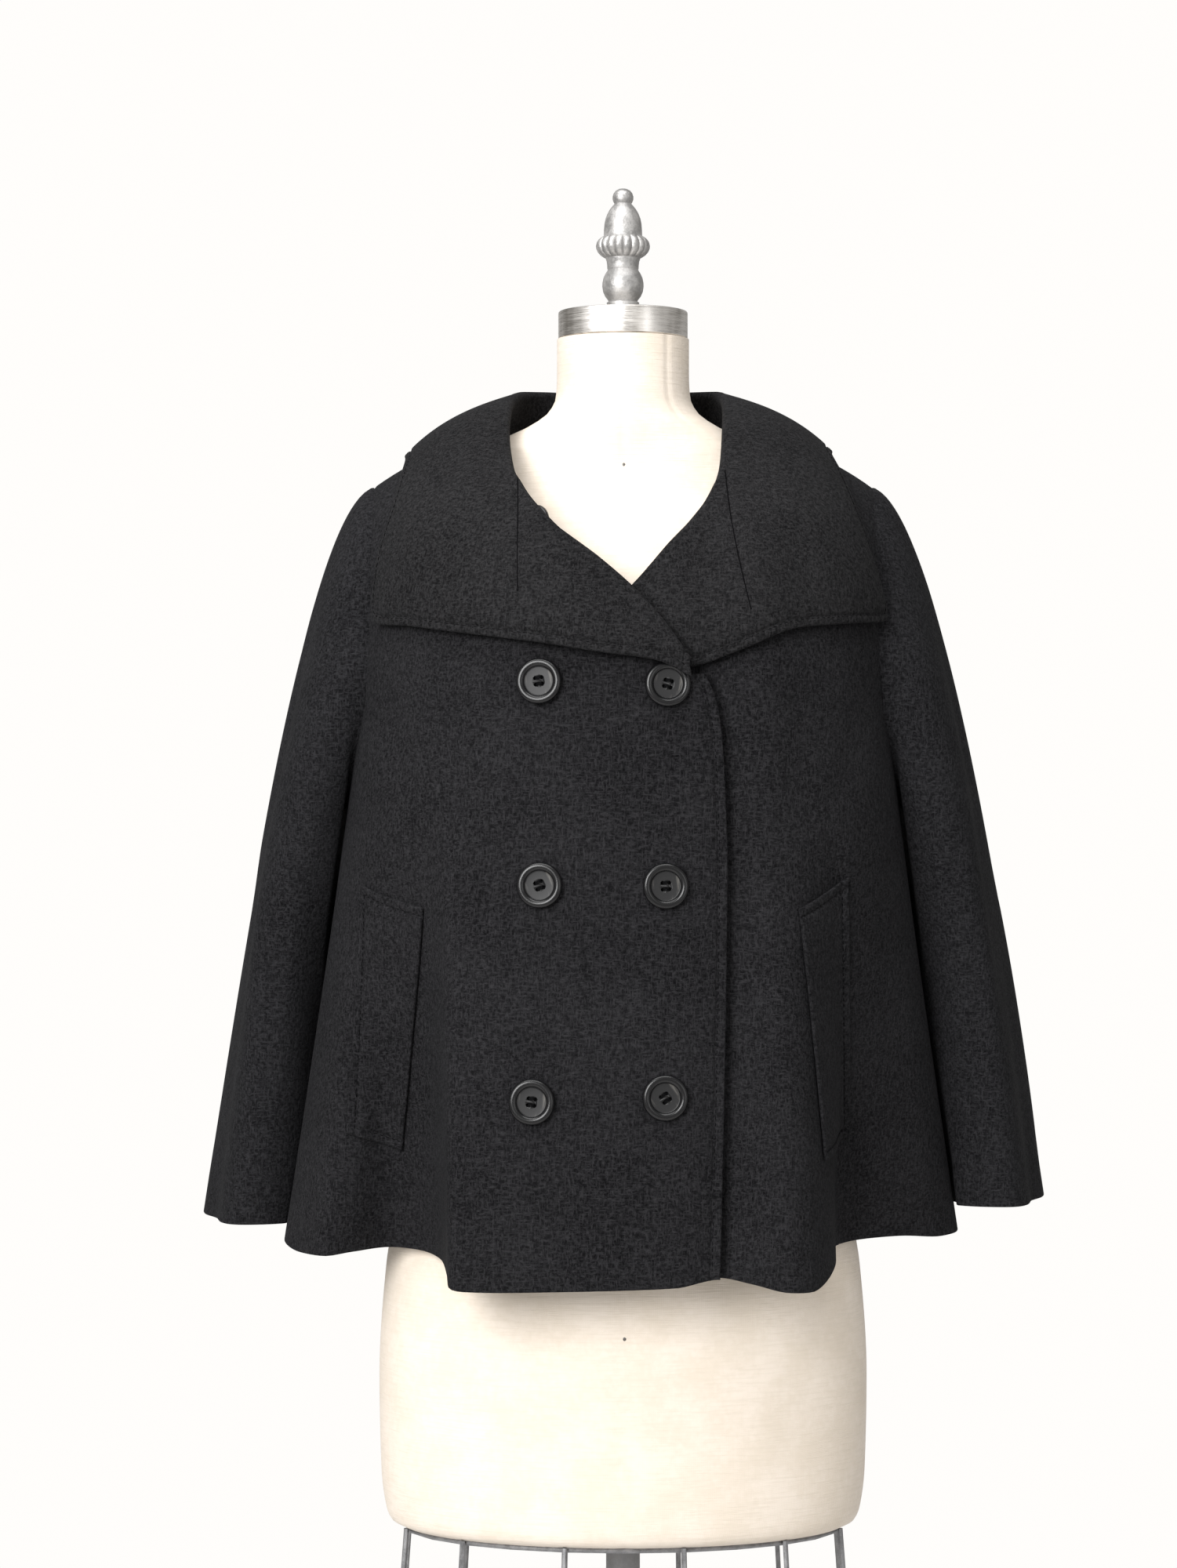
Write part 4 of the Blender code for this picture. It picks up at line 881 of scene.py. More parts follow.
def lay_again(grid, axis, start, end, count):
    """The same sheet with its points close together at two edges and evenly spread between"""
    lines = grid if axis == 1 else grid.transpose(1, 0, 2)
    laid = []
    for line in lines:
        length = run_length(line)
        first = np.array(start) * min(1.0, length[-1] / 4 / max(start[-1], 1e-9))
        last = np.array(end) * min(1.0, length[-1] / 4 / max(end[-1], 1e-9))
        middle = first[-1] + (length[-1] - first[-1] - last[-1]) * np.linspace(0, 1, count)[1:-1]
        places = np.concatenate((first, middle, length[-1] - last[::-1]))
        laid.append(points_at(line, length, places))
    laid = np.array(laid)
    return laid if axis == 1 else laid.transpose(1, 0, 2)


def sheet_normals(grid, wrap=False):
    """The directions square to a sheet, away from the coat's middle"""
    across = np.roll(grid, -1, 0) - np.roll(grid, 1, 0) if wrap else np.gradient(grid, axis=0)
    normals = np.cross(across, np.gradient(grid, axis=1))
    normals /= np.maximum(np.linalg.norm(normals, axis=2), 1e-12)[:, :, None]
    i = 0 if wrap else len(grid) // 2
    j = grid.shape[1] // 2 if wrap else grid.shape[1] - 8
    return normals if np.dot(normals[i, j], grid[i, j] - CHEST_MIDDLE) > 0 else -normals


def edge_distances(grid):
    """How far each point lies from a sheet's four edges, along its lines"""
    far = []
    for axis in (0, 1):
        steps = np.linalg.norm(np.diff(grid, axis=axis), axis=2)
        pad = [(0, 0), (0, 0)]
        pad[axis] = (1, 0)
        length = np.cumsum(np.pad(steps, pad), axis=axis)
        far += [length, np.take(length, [-1], axis=axis) - length]
    return far


def soft_folds(across, heights, folds):
    """The depth of listed folds: soft lines between two places, fading at both ends"""
    depth = np.zeros_like(heights)
    for a_top, z_top, a_low, z_low, width, deep in folds:
        run, fall = a_low - a_top, z_low - z_top
        part = ((across - a_top) * run + (heights - z_top) * fall) / (run * run + fall * fall)
        held = np.clip(part, 0, 1)
        off = np.hypot(across - a_top - run * held, heights - z_top - fall * held)
        fade = 0.25 + 0.75 * np.sin(np.pi * held) ** 0.7
        depth += deep * fade * np.exp(-(off / width) ** 2)
    return depth


def folds_across(grid, folds):
    """The depth on a sheet of folds placed as the photograph's side shows them"""
    return soft_folds(grid[:, :, 0], grid[:, :, 2], folds)


def press(grid, depth, wrap=False):
    """Presses a sheet in by a depth at each of its points"""
    grid -= sheet_normals(grid, wrap) * depth[:, :, None]


def cloth_shell(name, grid, inward, outward, edges, cloth, stitched=(), wrap=False):
    """A cloth piece with both its faces, from one of them.

    edges gives for each edge how much of the wall is left at it: 0 rounds it off, 1 leaves it.
    Returns the piece, its outer face and that face's directions.
    """
    normals = sheet_normals(grid, wrap)
    half = (inward + outward) / 2
    far = edge_distances(grid)
    left = np.ones(grid.shape[:2])
    for distance, keep in zip(far, edges):
        nose = np.sqrt(1 - (1 - np.clip(distance / half, 0, 1)) ** 2)
        left = np.minimum(left, keep + (1 - keep) * nose)
    dent = np.zeros(grid.shape[:2])
    for edge in stitched:
        beside = (far[edge] - TOPSTITCH) / STITCH_HALF
        dent = np.maximum(dent, STITCH_DENT * np.exp(-beside**2))
    middle = grid + normals * ((outward - inward) / 2)
    outer = middle + normals * (half * left - dent)[:, :, None]
    inner = middle - normals * (half * left)[:, :, None]
    columns, rows = grid.shape[:2]
    number = np.arange(columns * rows).reshape(columns, rows)
    after = np.roll(number, -1, 0) if wrap else number[1:]
    here = number if wrap else number[:-1]
    quads = np.stack((here[:, :-1], after[:, :-1], after[:, 1:], here[:, 1:]), -1).reshape(-1, 4)
    facing = np.cross(outer[1, 1] - outer[0, 1], outer[0, 2] - outer[0, 1])
    if np.dot(facing, normals[0, 1]) < 0:
        quads = quads[:, ::-1]
    under = columns * rows
    faces = quads.tolist() + (quads[:, ::-1] + under).tolist()
    rims = [] if wrap else [number[0], number[-1]]
    for line in (number[:, 0], number[:, -1]):
        rims.append(np.append(line, line[0]) if wrap else line)
    for line in rims:
        faces += [(a, b, b + under, a + under) for a, b in zip(line[:-1].tolist(),
                                                               line[1:].tolist())]
    mesh = bpy.data.meshes.new(name)
    points = np.concatenate((outer.reshape(-1, 3), inner.reshape(-1, 3)))
    mesh.from_pydata(points.tolist(), [], faces)
    shape = bmesh.new()
    shape.from_mesh(mesh)
    bmesh.ops.remove_doubles(shape, verts=shape.verts, dist=WELD)
    bmesh.ops.recalc_face_normals(shape, faces=shape.faces)
    shape.to_mesh(mesh)
    shape.free()
    return show(mesh, cloth, 70), outer, normals


nap, nap_in, nap_out = start_group(
    "Melton nap",
    (("Place", "NodeSocketVector", None), ("Dark", "NodeSocketColor", None),
     ("Light", "NodeSocketColor", None)),
    (("Colour", "NodeSocketColor"), ("Height", "NodeSocketFloat"),
     ("Roughness", "NodeSocketFloat")))
nap_place = nap_in.outputs["Place"]
nap_fibres = []
for pull, scale in (((1.0, 1.0, 0.22), 900.0), ((0.25, 0.9, 1.0), 760.0)):
    nap_noise = noise(nap, stretch(nap, nap_place, pull), scale, 3.0, 0.6)
    nap_fibres.append(remap(nap, nap_noise, 0.45, 0.67))
nap_all = combine(nap, "MAXIMUM", *nap_fibres)
nap_patch = remap(nap, noise(nap, nap_place, 430.0, 4.0, 0.7), 0.36, 0.66)
nap_cloud = remap(nap, noise(nap, nap_place, 16.0, 3.0, 0.5), 0.30, 0.70)
nap_share = weigh(nap, (nap_all, 0.56), (nap_patch, 0.32), (nap_cloud, 0.12))
nap.links.new(blend_colours(nap, nap_share, nap_in.outputs["Dark"], nap_in.outputs["Light"]),
              nap_out.inputs["Colour"])
nap.links.new(weigh(nap, (nap_all, 0.5), (nap_patch, 0.9)), nap_out.inputs["Height"])
nap.links.new(combine(nap, "MULTIPLY_ADD", nap_patch, -0.10, 0.97), nap_out.inputs["Roughness"])


def melton(name, dark, light, sheen):
    """A copy of the melton wool; the small differences in shade between the copies are painted
    light and shade
    """
    made, tree, shader = start_material(
        name, Sheen_Weight=sheen, Sheen_Roughness=0.45, Sheen_Tint=(0.55, 0.57, 0.64, 1.0),
        Specular_IOR_Level=0.12)
    cloth = place_group(tree, nap, Place=object_place(tree), Dark=dark, Light=light)
    tree.links.new(cloth.outputs["Colour"], shader.inputs["Base Color"])
    tree.links.new(cloth.outputs["Roughness"], shader.inputs["Roughness"])
    bump(tree, shader, cloth.outputs["Height"], 0.55, 0.0005)
    return made


body_wool = melton("charcoal_melton", (0.0006, 0.0006, 0.0010), (0.0225, 0.0220, 0.0240), 0.008)

back_rows = np.linspace(CENTRE_BACK, NECK_SHOULDER, BACK_NECK_LINES + 1)[:-1]
back_neck = neck_half(back_rows, NECK_FOOT_BACK, ease(BACK_STEEP - back_rows))
back_half = np.concatenate((back_neck, shoulder_and_armhole()))
back_half = back_half * (-1, 1, -1, 1, 1) + (180, 0, 180, 0, 0)
back_left, back_right = (half_panel(coat_face, back_half, side, 1) for side in (1, -1))
back_grid = np.concatenate((back_left[::-1], back_right[1:]))
back_grid = lay_again(back_grid, 1, PLAIN_EDGE, PLAIN_EDGE, BACK_POINTS[1])
back_grid = lay_again(back_grid, 0, PLAIN_EDGE, PLAIN_EDGE, BACK_POINTS[0])
press(back_grid, folds_across(back_grid, BACK_FOLDS))
coat_back, _, _ = cloth_shell("back_panel", back_grid, CLOTH, 0.0, (0.8, 0.8, 1.0, 0.0),
                              body_wool)
stands_for(coat_back, "charcoal_wool", "coat_back")


# The coat's fronts
# The same wool. The wearer's right front laps over the left one, and each front edge is
# turned under and topstitched. The skirt falls in a sharp fold on one side and a round flute
# on the other.

FRONT_EDGE_ANGLE = 17.4
FRONT_CORNER = (0.0555, 1.2225)
FRONT_EDGE_ROUNDING = 0.018
OVERLAP_DROP = 0.014
OVERLAP_X = (0.050, 0.105)
OVERLAP_Z = (1.290, 1.390)
NECK_FOOT = fair((0, 3, 6, NECK_SHOULDER), ((-13.0,), (8.0,), (24.0,), (NECK_FOOT_END,)))
NECK_STEEP = 4
FRONT_NECK_LINES = 90
CORNER_LINES = 20
FRONT_POINTS = (96, 160)
SIDES = {"right": -1, "left": 1}
# Columns: x_top, z_top, x_low, z_low, width, depth (below 0 stands proud)
RIGHT_FRONT_FOLDS = (
    (-0.128, 1.235, -0.118, 1.090, 0.013, 0.0022),
    (-0.172, 1.210, -0.150, 1.130, 0.012, 0.0020),
    (-0.090, 1.180, -0.094, 0.960, 0.018, -0.0014),
    (-0.060, 1.210, -0.052, 1.120, 0.014, 0.0012),
    (0.000, 1.160, 0.002, 0.960, 0.020, 0.0012),
    (-0.108, 1.000, -0.112, 0.830, 0.012, 0.0016),
    (-0.190, 1.060, -0.196, 0.900, 0.014, 0.0018),
    (0.034, 1.060, 0.040, 0.860, 0.014, -0.0010),
    (-0.034, 0.960, -0.036, 0.830, 0.012, 0.0010),
)
LEFT_FRONT_FOLDS = (
    (0.130, 1.230, 0.122, 1.100, 0.013, 0.0020),
    (0.172, 1.215, 0.152, 1.130, 0.012, 0.0020),
    (0.092, 1.190, 0.096, 0.970, 0.016, 0.0018),
    (0.116, 1.060, 0.124, 0.850, 0.014, -0.0018),
    (0.080, 1.010, 0.084, 0.840, 0.012, 0.0014),
    (0.190, 1.050, 0.200, 0.880, 0.014, 0.0018),
)


def overlap_drop(x, z):
    """How far the under front and its collar half lie inside the upper ones"""
    across = ease((OVERLAP_X[1] - x) / (OVERLAP_X[1] - OVERLAP_X[0]))
    upward = ease((OVERLAP_Z[1] - z) / (OVERLAP_Z[1] - OVERLAP_Z[0]))
    return OVERLAP_DROP * across * upward


def under_face(angles, heights):
    """The outer face of the under front"""
    places = coat_face(angles, heights)
    inside = overlap_drop(places[..., 0], places[..., 2])
    places[..., 1] += np.where(np.abs(angles) < 90, inside, 0.0)
    return places


front_rows = np.linspace(0, NECK_SHOULDER, FRONT_NECK_LINES + 1)[:-1]
neck_lines = neck_half(front_rows, NECK_FOOT, ease(front_rows - NECK_STEEP))
corner_line = np.array((-float(girth_angle(FRONT_CORNER[0])), FRONT_CORNER[1], -FRONT_EDGE_ANGLE,
                        FRONT_EDGE_ROUNDING, 0.0))
edge_part = (np.arange(CORNER_LINES) / CORNER_LINES)[:, None]
edge_lines = corner_line + (neck_lines[0] - corner_line) * edge_part
front_half = np.concatenate((edge_lines, neck_lines, shoulder_and_armhole()))

front_shells = {}
FRONT_FACES = {"right": (coat_face, RIGHT_FRONT_FOLDS), "left": (under_face, LEFT_FRONT_FOLDS)}
for side_name, (face, folds) in FRONT_FACES.items():
    front_grid = half_panel(face, front_half, SIDES[side_name], -1)
    front_grid = lay_again(front_grid, 1, PLAIN_EDGE, PLAIN_EDGE, FRONT_POINTS[1])
    front_grid = lay_again(front_grid, 0, STITCHED_EDGE, PLAIN_EDGE, FRONT_POINTS[0])
    press(front_grid, folds_across(front_grid, folds))
    front_shells[side_name] = cloth_shell(f"front_{side_name}", front_grid, CLOTH, 0.0,
                                          (0.0, 0.8, 1.0, 0.0), body_wool, stitched=(0,))
    front = front_shells[side_name][0]
    stands_for(front, "charcoal_wool", f"coat_front_{side_name}")


# The sleeves
# Wide bell sleeves of the same wool, set in the armholes and hanging open and empty, with a
# turned hem at each cuff.

# Columns: side, cuff_x, cuff_y, half_x, half_y, cuff_z
SLEEVES = (
    ("right", 0.2690, 0.0760, 0.0490, 0.0860, 0.8200),
    ("left", 0.2705, 0.0760, 0.0500, 0.0860, 0.8330),
)
SLEEVE_CLEAR = 0.0036
SLEEVE_LEDGE = 0.002
SLEEVE_SAG = 0.022
SLEEVE_HANDLE = (0.050, 0.090)
SLEEVE_HANG = (0.200, 0.140)
SLEEVE_BOW = 0.033
SLEEVE_KEEPS_Y = 0.25
# The underarm lies against the coat's side: depth, width in turns, place along, reach, start
SLEEVE_HUG = (0.014, 0.17, 0.20, 0.24, 0.04)
# Columns: turn, width, depth
SLEEVE_FLUTES = (
    (0.09, 0.05, -0.007),
    (0.19, 0.05, 0.005),
    (0.80, 0.05, -0.008),
    (0.92, 0.05, 0.004),
)
# Columns: turn at the top, height, turn at the bottom, height, width, depth
SLEEVE_FOLDS = {
    "right": (
        (0.04, 1.290, 0.10, 1.120, 0.012, 0.0022),
        (0.98, 1.250, 0.93, 1.060, 0.013, 0.0020),
        (0.12, 1.170, 0.17, 0.960, 0.016, -0.0020),
        (0.02, 1.080, 0.04, 0.870, 0.014, 0.0022),
        (0.86, 1.150, 0.88, 0.930, 0.016, 0.0024),
        (0.24, 1.060, 0.23, 0.900, 0.014, 0.0018),
        (0.72, 1.080, 0.75, 0.900, 0.014, 0.0020),
    ),
    "left": (
        (0.05, 1.270, 0.11, 1.100, 0.013, 0.0020),
        (0.97, 1.270, 0.92, 1.090, 0.012, 0.0022),
        (0.13, 1.130, 0.15, 0.940, 0.014, 0.0022),
        (0.01, 1.060, 0.00, 0.880, 0.015, -0.0020),
        (0.87, 1.120, 0.90, 0.900, 0.014, 0.0022),
        (0.25, 1.020, 0.26, 0.890, 0.014, 0.0016),
        (0.74, 1.100, 0.71, 0.920, 0.015, 0.0020),
    ),
}
SLEEVE_GIRTH = 0.45
# Lines of cloth round the sleeve, and steps down each
SLEEVE_LINES = (132, 150)
SLEEVE_POINTS = 108
SLEEVE_FLUTE_GROWTH = 1.2 / FOLD_GROWTH
SLEEVE_LEVELS = np.linspace(0.800, SHOULDER_Z, 142)


def armhole_height(angles):
    """Height of the armhole's edge at a girth angle"""
    lower = np.array(ARMHOLE[2:])
    height = np.interp(angles, lower[:, 0], lower[:, 1])
    return np.where(angles < lower[0, 0], SHOULDER_Z, height)


def body_sides(side):
    """At each level, how far out the coat's side stands from front to back"""
    angles = np.arange(40, 141, 2)
    rims = armhole_height(np.minimum(angles, 180 - angles)) + SLEEVE_CLEAR
    outlines = []
    for z in SLEEVE_LEVELS:
        kept = angles[z <= rims]
        places = coat_face(side * kept, z)
        order = np.argsort(places[:, 1])
        ahead = places[kept <= 90, 1]
        behind = places[kept > 90, 1]
        opening = (ahead.max(), behind.min()) if z > ARMHOLE[-1][1] else (1.0, -1.0)
        outlines.append((places[order, 1], np.abs(places[order, 0]), opening))
    return outlines


def clear_of_body(grid, side):
    """Moves a sleeve out until the coat's side is clear of it"""
    outlines = body_sides(side)
    flat = grid.reshape(-1, 3)
    level = (flat[:, 2] - SLEEVE_LEVELS[0]) / (SLEEVE_LEVELS[1] - SLEEVE_LEVELS[0])
    lower = np.clip(np.floor(level).astype(int), 0, len(SLEEVE_LEVELS) - 2)
    share = np.clip(level - lower, 0, 1)
    least = np.zeros(len(flat))
    for i in np.unique(lower):
        here = lower == i
        for k, weight in ((i, 1 - share[here]), (i + 1, share[here])):
            ys, xs, (ahead, behind) = outlines[k]
            needed = np.interp(flat[here, 1], ys, xs) + SLEEVE_CLEAR
            over = (flat[here, 1] > ahead) & (flat[here, 1] < behind)
            least[here] += weight * np.where(over, 0.0, needed)
    flat[:, 0] = side * np.maximum(np.abs(flat[:, 0]), least)
    return flat.reshape(grid.shape)


def bezier(a, b, c, d, t):
    """Places on a curve from a to d that b and c draw to themselves"""
    return (1 - t) ** 3 * a + 3 * (1 - t) ** 2 * t * b + 3 * (1 - t) * t**2 * c + t**3 * d


def lay_line(line, steps):
    """A line with its points at even distances"""
    length = run_length(line)
    return points_at(line, length, np.linspace(0, length[-1], steps + 1))


def sleeve_grid(side, cuff_x, cuff_y, half_x, half_y, cuff_z):
    """Lines of cloth from the armhole down to the cuff, all round a sleeve"""
    around, steps = SLEEVE_LINES
    turn = np.arange(around) / around
    down = 1 - np.abs(1 - 2 * turn)
    hole = ARMHOLE_LINE(down * (len(ARMHOLE) - 1))
    start = coat_face(side * np.where(turn > 0.5, 180 - hole[:, 0], hole[:, 0]), hole[:, 1])
    tilt = np.radians(90) * down**1.5
    leave = np.stack((side * np.cos(tilt), np.zeros(around), -np.sin(tilt)), 1)
    ledge = start + leave * SLEEVE_LEDGE
    circle = 2 * np.pi * turn
    cuff = np.stack((side * (cuff_x + half_x * np.cos(circle)), cuff_y - half_y * np.sin(circle),
                     np.full(around, cuff_z)), 1)
    handle = SLEEVE_HANDLE[0] * (1 - down) + SLEEVE_HANDLE[1] * down
    hang = SLEEVE_HANG[0] * (1 - down) + SLEEVE_HANG[1] * down
    first = ledge + leave * handle[:, None]
    first[:, 2] -= SLEEVE_SAG * (1 - down)
    last = cuff + np.stack((-side * SLEEVE_BOW * (1 - down),
                            (start[:, 1] - cuff[:, 1]) * SLEEVE_KEEPS_Y, hang), 1)
    along = np.arange(steps + 1) / steps
    curve = bezier(ledge[:, None], first[:, None], last[:, None], cuff[:, None],
                   along[None, :, None])
    rows = np.array([lay_line(line, steps) for line in curve])
    outward = np.stack((side * np.cos(circle), -np.sin(circle), np.zeros(around)), 1)
    for centre, width, depth in SLEEVE_FLUTES:
        away = (turn - centre + 0.5) % 1.0 - 0.5
        push = depth * np.exp(-(away / width) ** 2)[:, None] * along**SLEEVE_FLUTE_GROWTH
        rows += outward[:, None] * push[:, :, None]
    deep, width, place, reach, first_part = SLEEVE_HUG
    near = np.exp(-((turn - 0.5) / width) ** 2)[:, None]
    near = near * np.exp(-((along - place) / reach) ** 2) * np.minimum(1, along / first_part)
    rows += outward[:, None] * (deep * near)[:, :, None]
    rows = clear_of_body(rows, side)
    return np.concatenate((start[:, None], rows), axis=1), turn


# The sleeves' copy of the same wool, a touch lighter and bluer: painted light
sleeve_wool_lit_copy = melton("charcoal_melton_sleeve", (0.0006, 0.0006, 0.0010),
                     (0.0225, 0.0222, 0.0244), 0.008)
for side_name, *sizes in SLEEVES:
    sleeve, turns = sleeve_grid(SIDES[side_name], *sizes)
    sleeve = lay_again(sleeve, 1, PLAIN_EDGE, PLAIN_EDGE, SLEEVE_POINTS)
    sleeve_depth = np.zeros(sleeve.shape[:2])
    folds = [(a * SLEEVE_GIRTH, za, b * SLEEVE_GIRTH, zb, w, d)
             for a, za, b, zb, w, d in SLEEVE_FOLDS[side_name]]
    for over in (-1, 0, 1):
        wrapped = (turns[:, None] + over) * SLEEVE_GIRTH + np.zeros(sleeve.shape[:2])
        sleeve_depth += soft_folds(wrapped, sleeve[:, :, 2], folds)
    press(sleeve, sleeve_depth, True)
    sleeve_piece, _, _ = cloth_shell(f"sleeve_{side_name}", sleeve, CLOTH, 0.0, (1, 1, 1, 0.0),
                                     sleeve_wool_lit_copy, wrap=True)
    stands_for(sleeve_piece, "charcoal_wool", f"coat_sleeve_{side_name}")


# The collar
# Two halves of the same wool, doubled and pressed, sewn in the neckline and joined at the
# centre back. It stands up round the neck, turns over and falls far out over the shoulders,
# with a curved dart in each wing and topstitching inside its outer edge.

COLLAR_CLOTH = 0.0036
STAND_GAP = 0.0007
# Columns: crest_out, crest_y, crest_z, edge_out, edge_y, edge_z, edge_lift
COLLAR_RIGHT = (
    (-0.0444, -0.1535, 1.2335, -0.0448, -0.1500, 1.2190, 0.0062),
    (-0.0238, -0.1470, 1.2627, -0.0200, -0.1480, 1.2300, 0.0066),
    (-0.0055, -0.1415, 1.2836, 0.0180, -0.1450, 1.2350, 0.0062),
    (0.0187, -0.1350, 1.3052, 0.0640, -0.1420, 1.2437, 0.0045),
    (0.0527, -0.1220, 1.3315, 0.1160, -0.1250, 1.2512, 0.0036),
    (0.0703, -0.1060, 1.3520, 0.1500, -0.1050, 1.2568, 0.0032),
    (0.0760, -0.0960, 1.3620, 0.1848, -0.0790, 1.2640, 0.0032),
    (0.0815, -0.0850, 1.3728, 0.1795, -0.0690, 1.2930, 0.0032),
    (0.0850, -0.0500, 1.4020, 0.1630, -0.0550, 1.3380, 0.0030),
    (0.0835, -0.0120, 1.4270, 0.1565, -0.0150, 1.3800, 0.0028),
    (0.0735, 0.0300, 1.4380, 0.1500, 0.0330, 1.3740, 0.0028),
    (0.0500, 0.0590, 1.4405, 0.1250, 0.0700, 1.3600, 0.0030),
    (0.0250, 0.0700, 1.4405, 0.0700, 0.0850, 1.3520, 0.0035),
    (0.0000, 0.0730, 1.4405, 0.0000, 0.0900, 1.3500, 0.0040),
)
COLLAR_LEFT = (
    (-0.0350, -0.1480, 1.2400, -0.0300, -0.1500, 1.2240, 0.0020),
    (-0.0130, -0.1440, 1.2650, 0.0100, -0.1480, 1.2235, 0.0020),
    (0.0085, -0.1390, 1.2870, 0.0450, -0.1460, 1.2265, 0.0024),
    (0.0321, -0.1330, 1.3145, 0.0800, -0.1380, 1.2385, 0.0034),
    (0.0500, -0.1200, 1.3345, 0.1180, -0.1220, 1.2540, 0.0034),
    (0.0600, -0.1080, 1.3490, 0.1550, -0.1020, 1.2590, 0.0032),
    (0.0655, -0.0960, 1.3610, 0.1990, -0.0640, 1.2680, 0.0032),
    (0.0696, -0.0840, 1.3740, 0.1860, -0.0640, 1.2960, 0.0032),
    (0.0725, -0.0500, 1.4050, 0.1630, -0.0550, 1.3330, 0.0030),
    (0.0740, -0.0120, 1.4280, 0.1500, -0.0150, 1.3840, 0.0028),
    (0.0690, 0.0300, 1.4380, 0.1470, 0.0330, 1.3760, 0.0028),
    (0.0480, 0.0590, 1.4405, 0.1240, 0.0700, 1.3600, 0.0030),
    (0.0250, 0.0700, 1.4405, 0.0700, 0.0850, 1.3520, 0.0035),
    (0.0000, 0.0730, 1.4405, 0.0000, 0.0900, 1.3500, 0.0040),
)
COLLAR_TURN = 0.0007
COLLAR_BULGE = 0.004
EDGE_LIFT = 0.0018
TIP_REACH = 7
TIP_ROUND = 2.2
TURN_EDGE = (0.0, 0.0002, 0.0005, 0.0010, 0.0018)
COLLAR_OPENNESS = 0.020
COLLAR_FULL_FALL = 0.100
STAND_ROWS = 32
COLLAR_STATIONS = 260
STAND_STEPS = 21
CREST_STEPS = 8
FALL_STEPS = 110
FALL_CROWDING = 1.4
COLLAR_POINTS = (210, 88)
FOLDS_END_Y = 0.01
# Columns: x_top, z_top, x_low, z_low, width, depth (below 0 stands proud)
COLLAR_FOLDS = {
    "right": (
        (-0.0762, 1.3690, -0.0757, 1.3240, 0.0026, 0.0014),
        (-0.0757, 1.3240, -0.0752, 1.2790, 0.0026, 0.0014),
        (-0.110, 1.372, -0.150, 1.292, 0.012, -0.0014),
        (-0.045, 1.302, -0.090, 1.262, 0.010, 0.0010),
        (-0.130, 1.330, -0.126, 1.275, 0.010, 0.0010),
    ),
    "left": (
        (0.0722, 1.3700, 0.0765, 1.3280, 0.0026, 0.0014),
        (0.0765, 1.3280, 0.0893, 1.2660, 0.0026, 0.0014),
        (0.112, 1.365, 0.150, 1.290, 0.012, -0.0014),
        (0.045, 1.290, 0.074, 1.255, 0.010, 0.0010),
        (0.120, 1.330, 0.130, 1.275, 0.010, 0.0010),
    ),
}


def collar_grid(table, side, under):
    """The collar's under face: up the stand, over the crest and down the fall"""
    rows = np.linspace(0, len(table) - 1, COLLAR_STATIONS)
    values = fair(range(len(table)), table)(rows)
    neck = neck_places(rows)
    crest = values[:, :3]
    edge = np.array([on_dome(place, lift + EDGE_LIFT)[0]
                     for place, lift in zip(values[:, 3:6], values[:, 6])])
    softened = edge.copy()
    weights = np.exp(-(np.arange(-TIP_REACH, TIP_REACH + 1) / TIP_ROUND) ** 2)
    for k in range(TIP_REACH, COLLAR_STATIONS - TIP_REACH):
        softened[k] = weights @ edge[k - TIP_REACH:k + TIP_REACH + 1] / weights.sum()
    edge = softened

    def unit(directions):
        return directions / np.linalg.norm(directions, axis=-1)[..., None]

    def square_to(directions, along_line):
        return directions - along_line * np.sum(directions * along_line, -1)[..., None]

    up = unit(crest - neck)
    outward = square_to(edge - crest, up) + unit(neck - CHEST_MIDDLE) * COLLAR_OPENNESS
    outward = unit(square_to(outward, up))
    pivot = crest - up * (COLLAR_CLOTH + COLLAR_TURN)
    base = neck + up * STAND_GAP
    stand_top = pivot - outward * COLLAR_TURN
    fall_top = pivot + outward * COLLAR_TURN
    lines = [base + (stand_top - base) * (1 - short**2)
             for short in np.linspace(1, 0, STAND_STEPS + 1)[:-1]]
    for turn in np.linspace(0, np.pi, CREST_STEPS + 1):
        lines.append(pivot + COLLAR_TURN * (up * np.sin(turn) - outward * np.cos(turn)))
    turned = len(lines)

    def lift_of(places):
        away = places - CHEST_MIDDLE
        length = np.linalg.norm(away, axis=1)
        return length - dome_reach(away / length[:, None])

    first_lift = lift_of(fall_top)
    last_lift = lift_of(edge)
    fall_length = np.linalg.norm(edge - crest, axis=1)
    bulge = COLLAR_BULGE * np.minimum(fall_length / COLLAR_FULL_FALL, 1) ** 2
    for part in np.linspace(0, 1, FALL_STEPS + 1)[1:] ** FALL_CROWDING:
        guess = fall_top + (edge - fall_top) * part - CHEST_MIDDLE
        raised = first_lift + (last_lift - first_lift) * part + bulge * 4 * part * (1 - part)
        guess = unit(guess)
        lines.append(CHEST_MIDDLE + guess * (dome_reach(guess) + raised)[:, None])
    grid = np.stack(lines, 1)
    if under:
        inside = overlap_drop(grid[:, :, 0], grid[:, :, 2])
        grid[:, :, 1] += np.where(grid[:, :, 1] < 0, inside, 0.0)
    grid[-1, :, 0] = SEAM / 2
    grid[:, :, 0] *= side
    fall = lay_again(grid[:, turned - 1:], 1, TURN_EDGE, STITCHED_EDGE, COLLAR_POINTS[1])
    return np.concatenate((grid[:, :turned - 1], fall), axis=1)
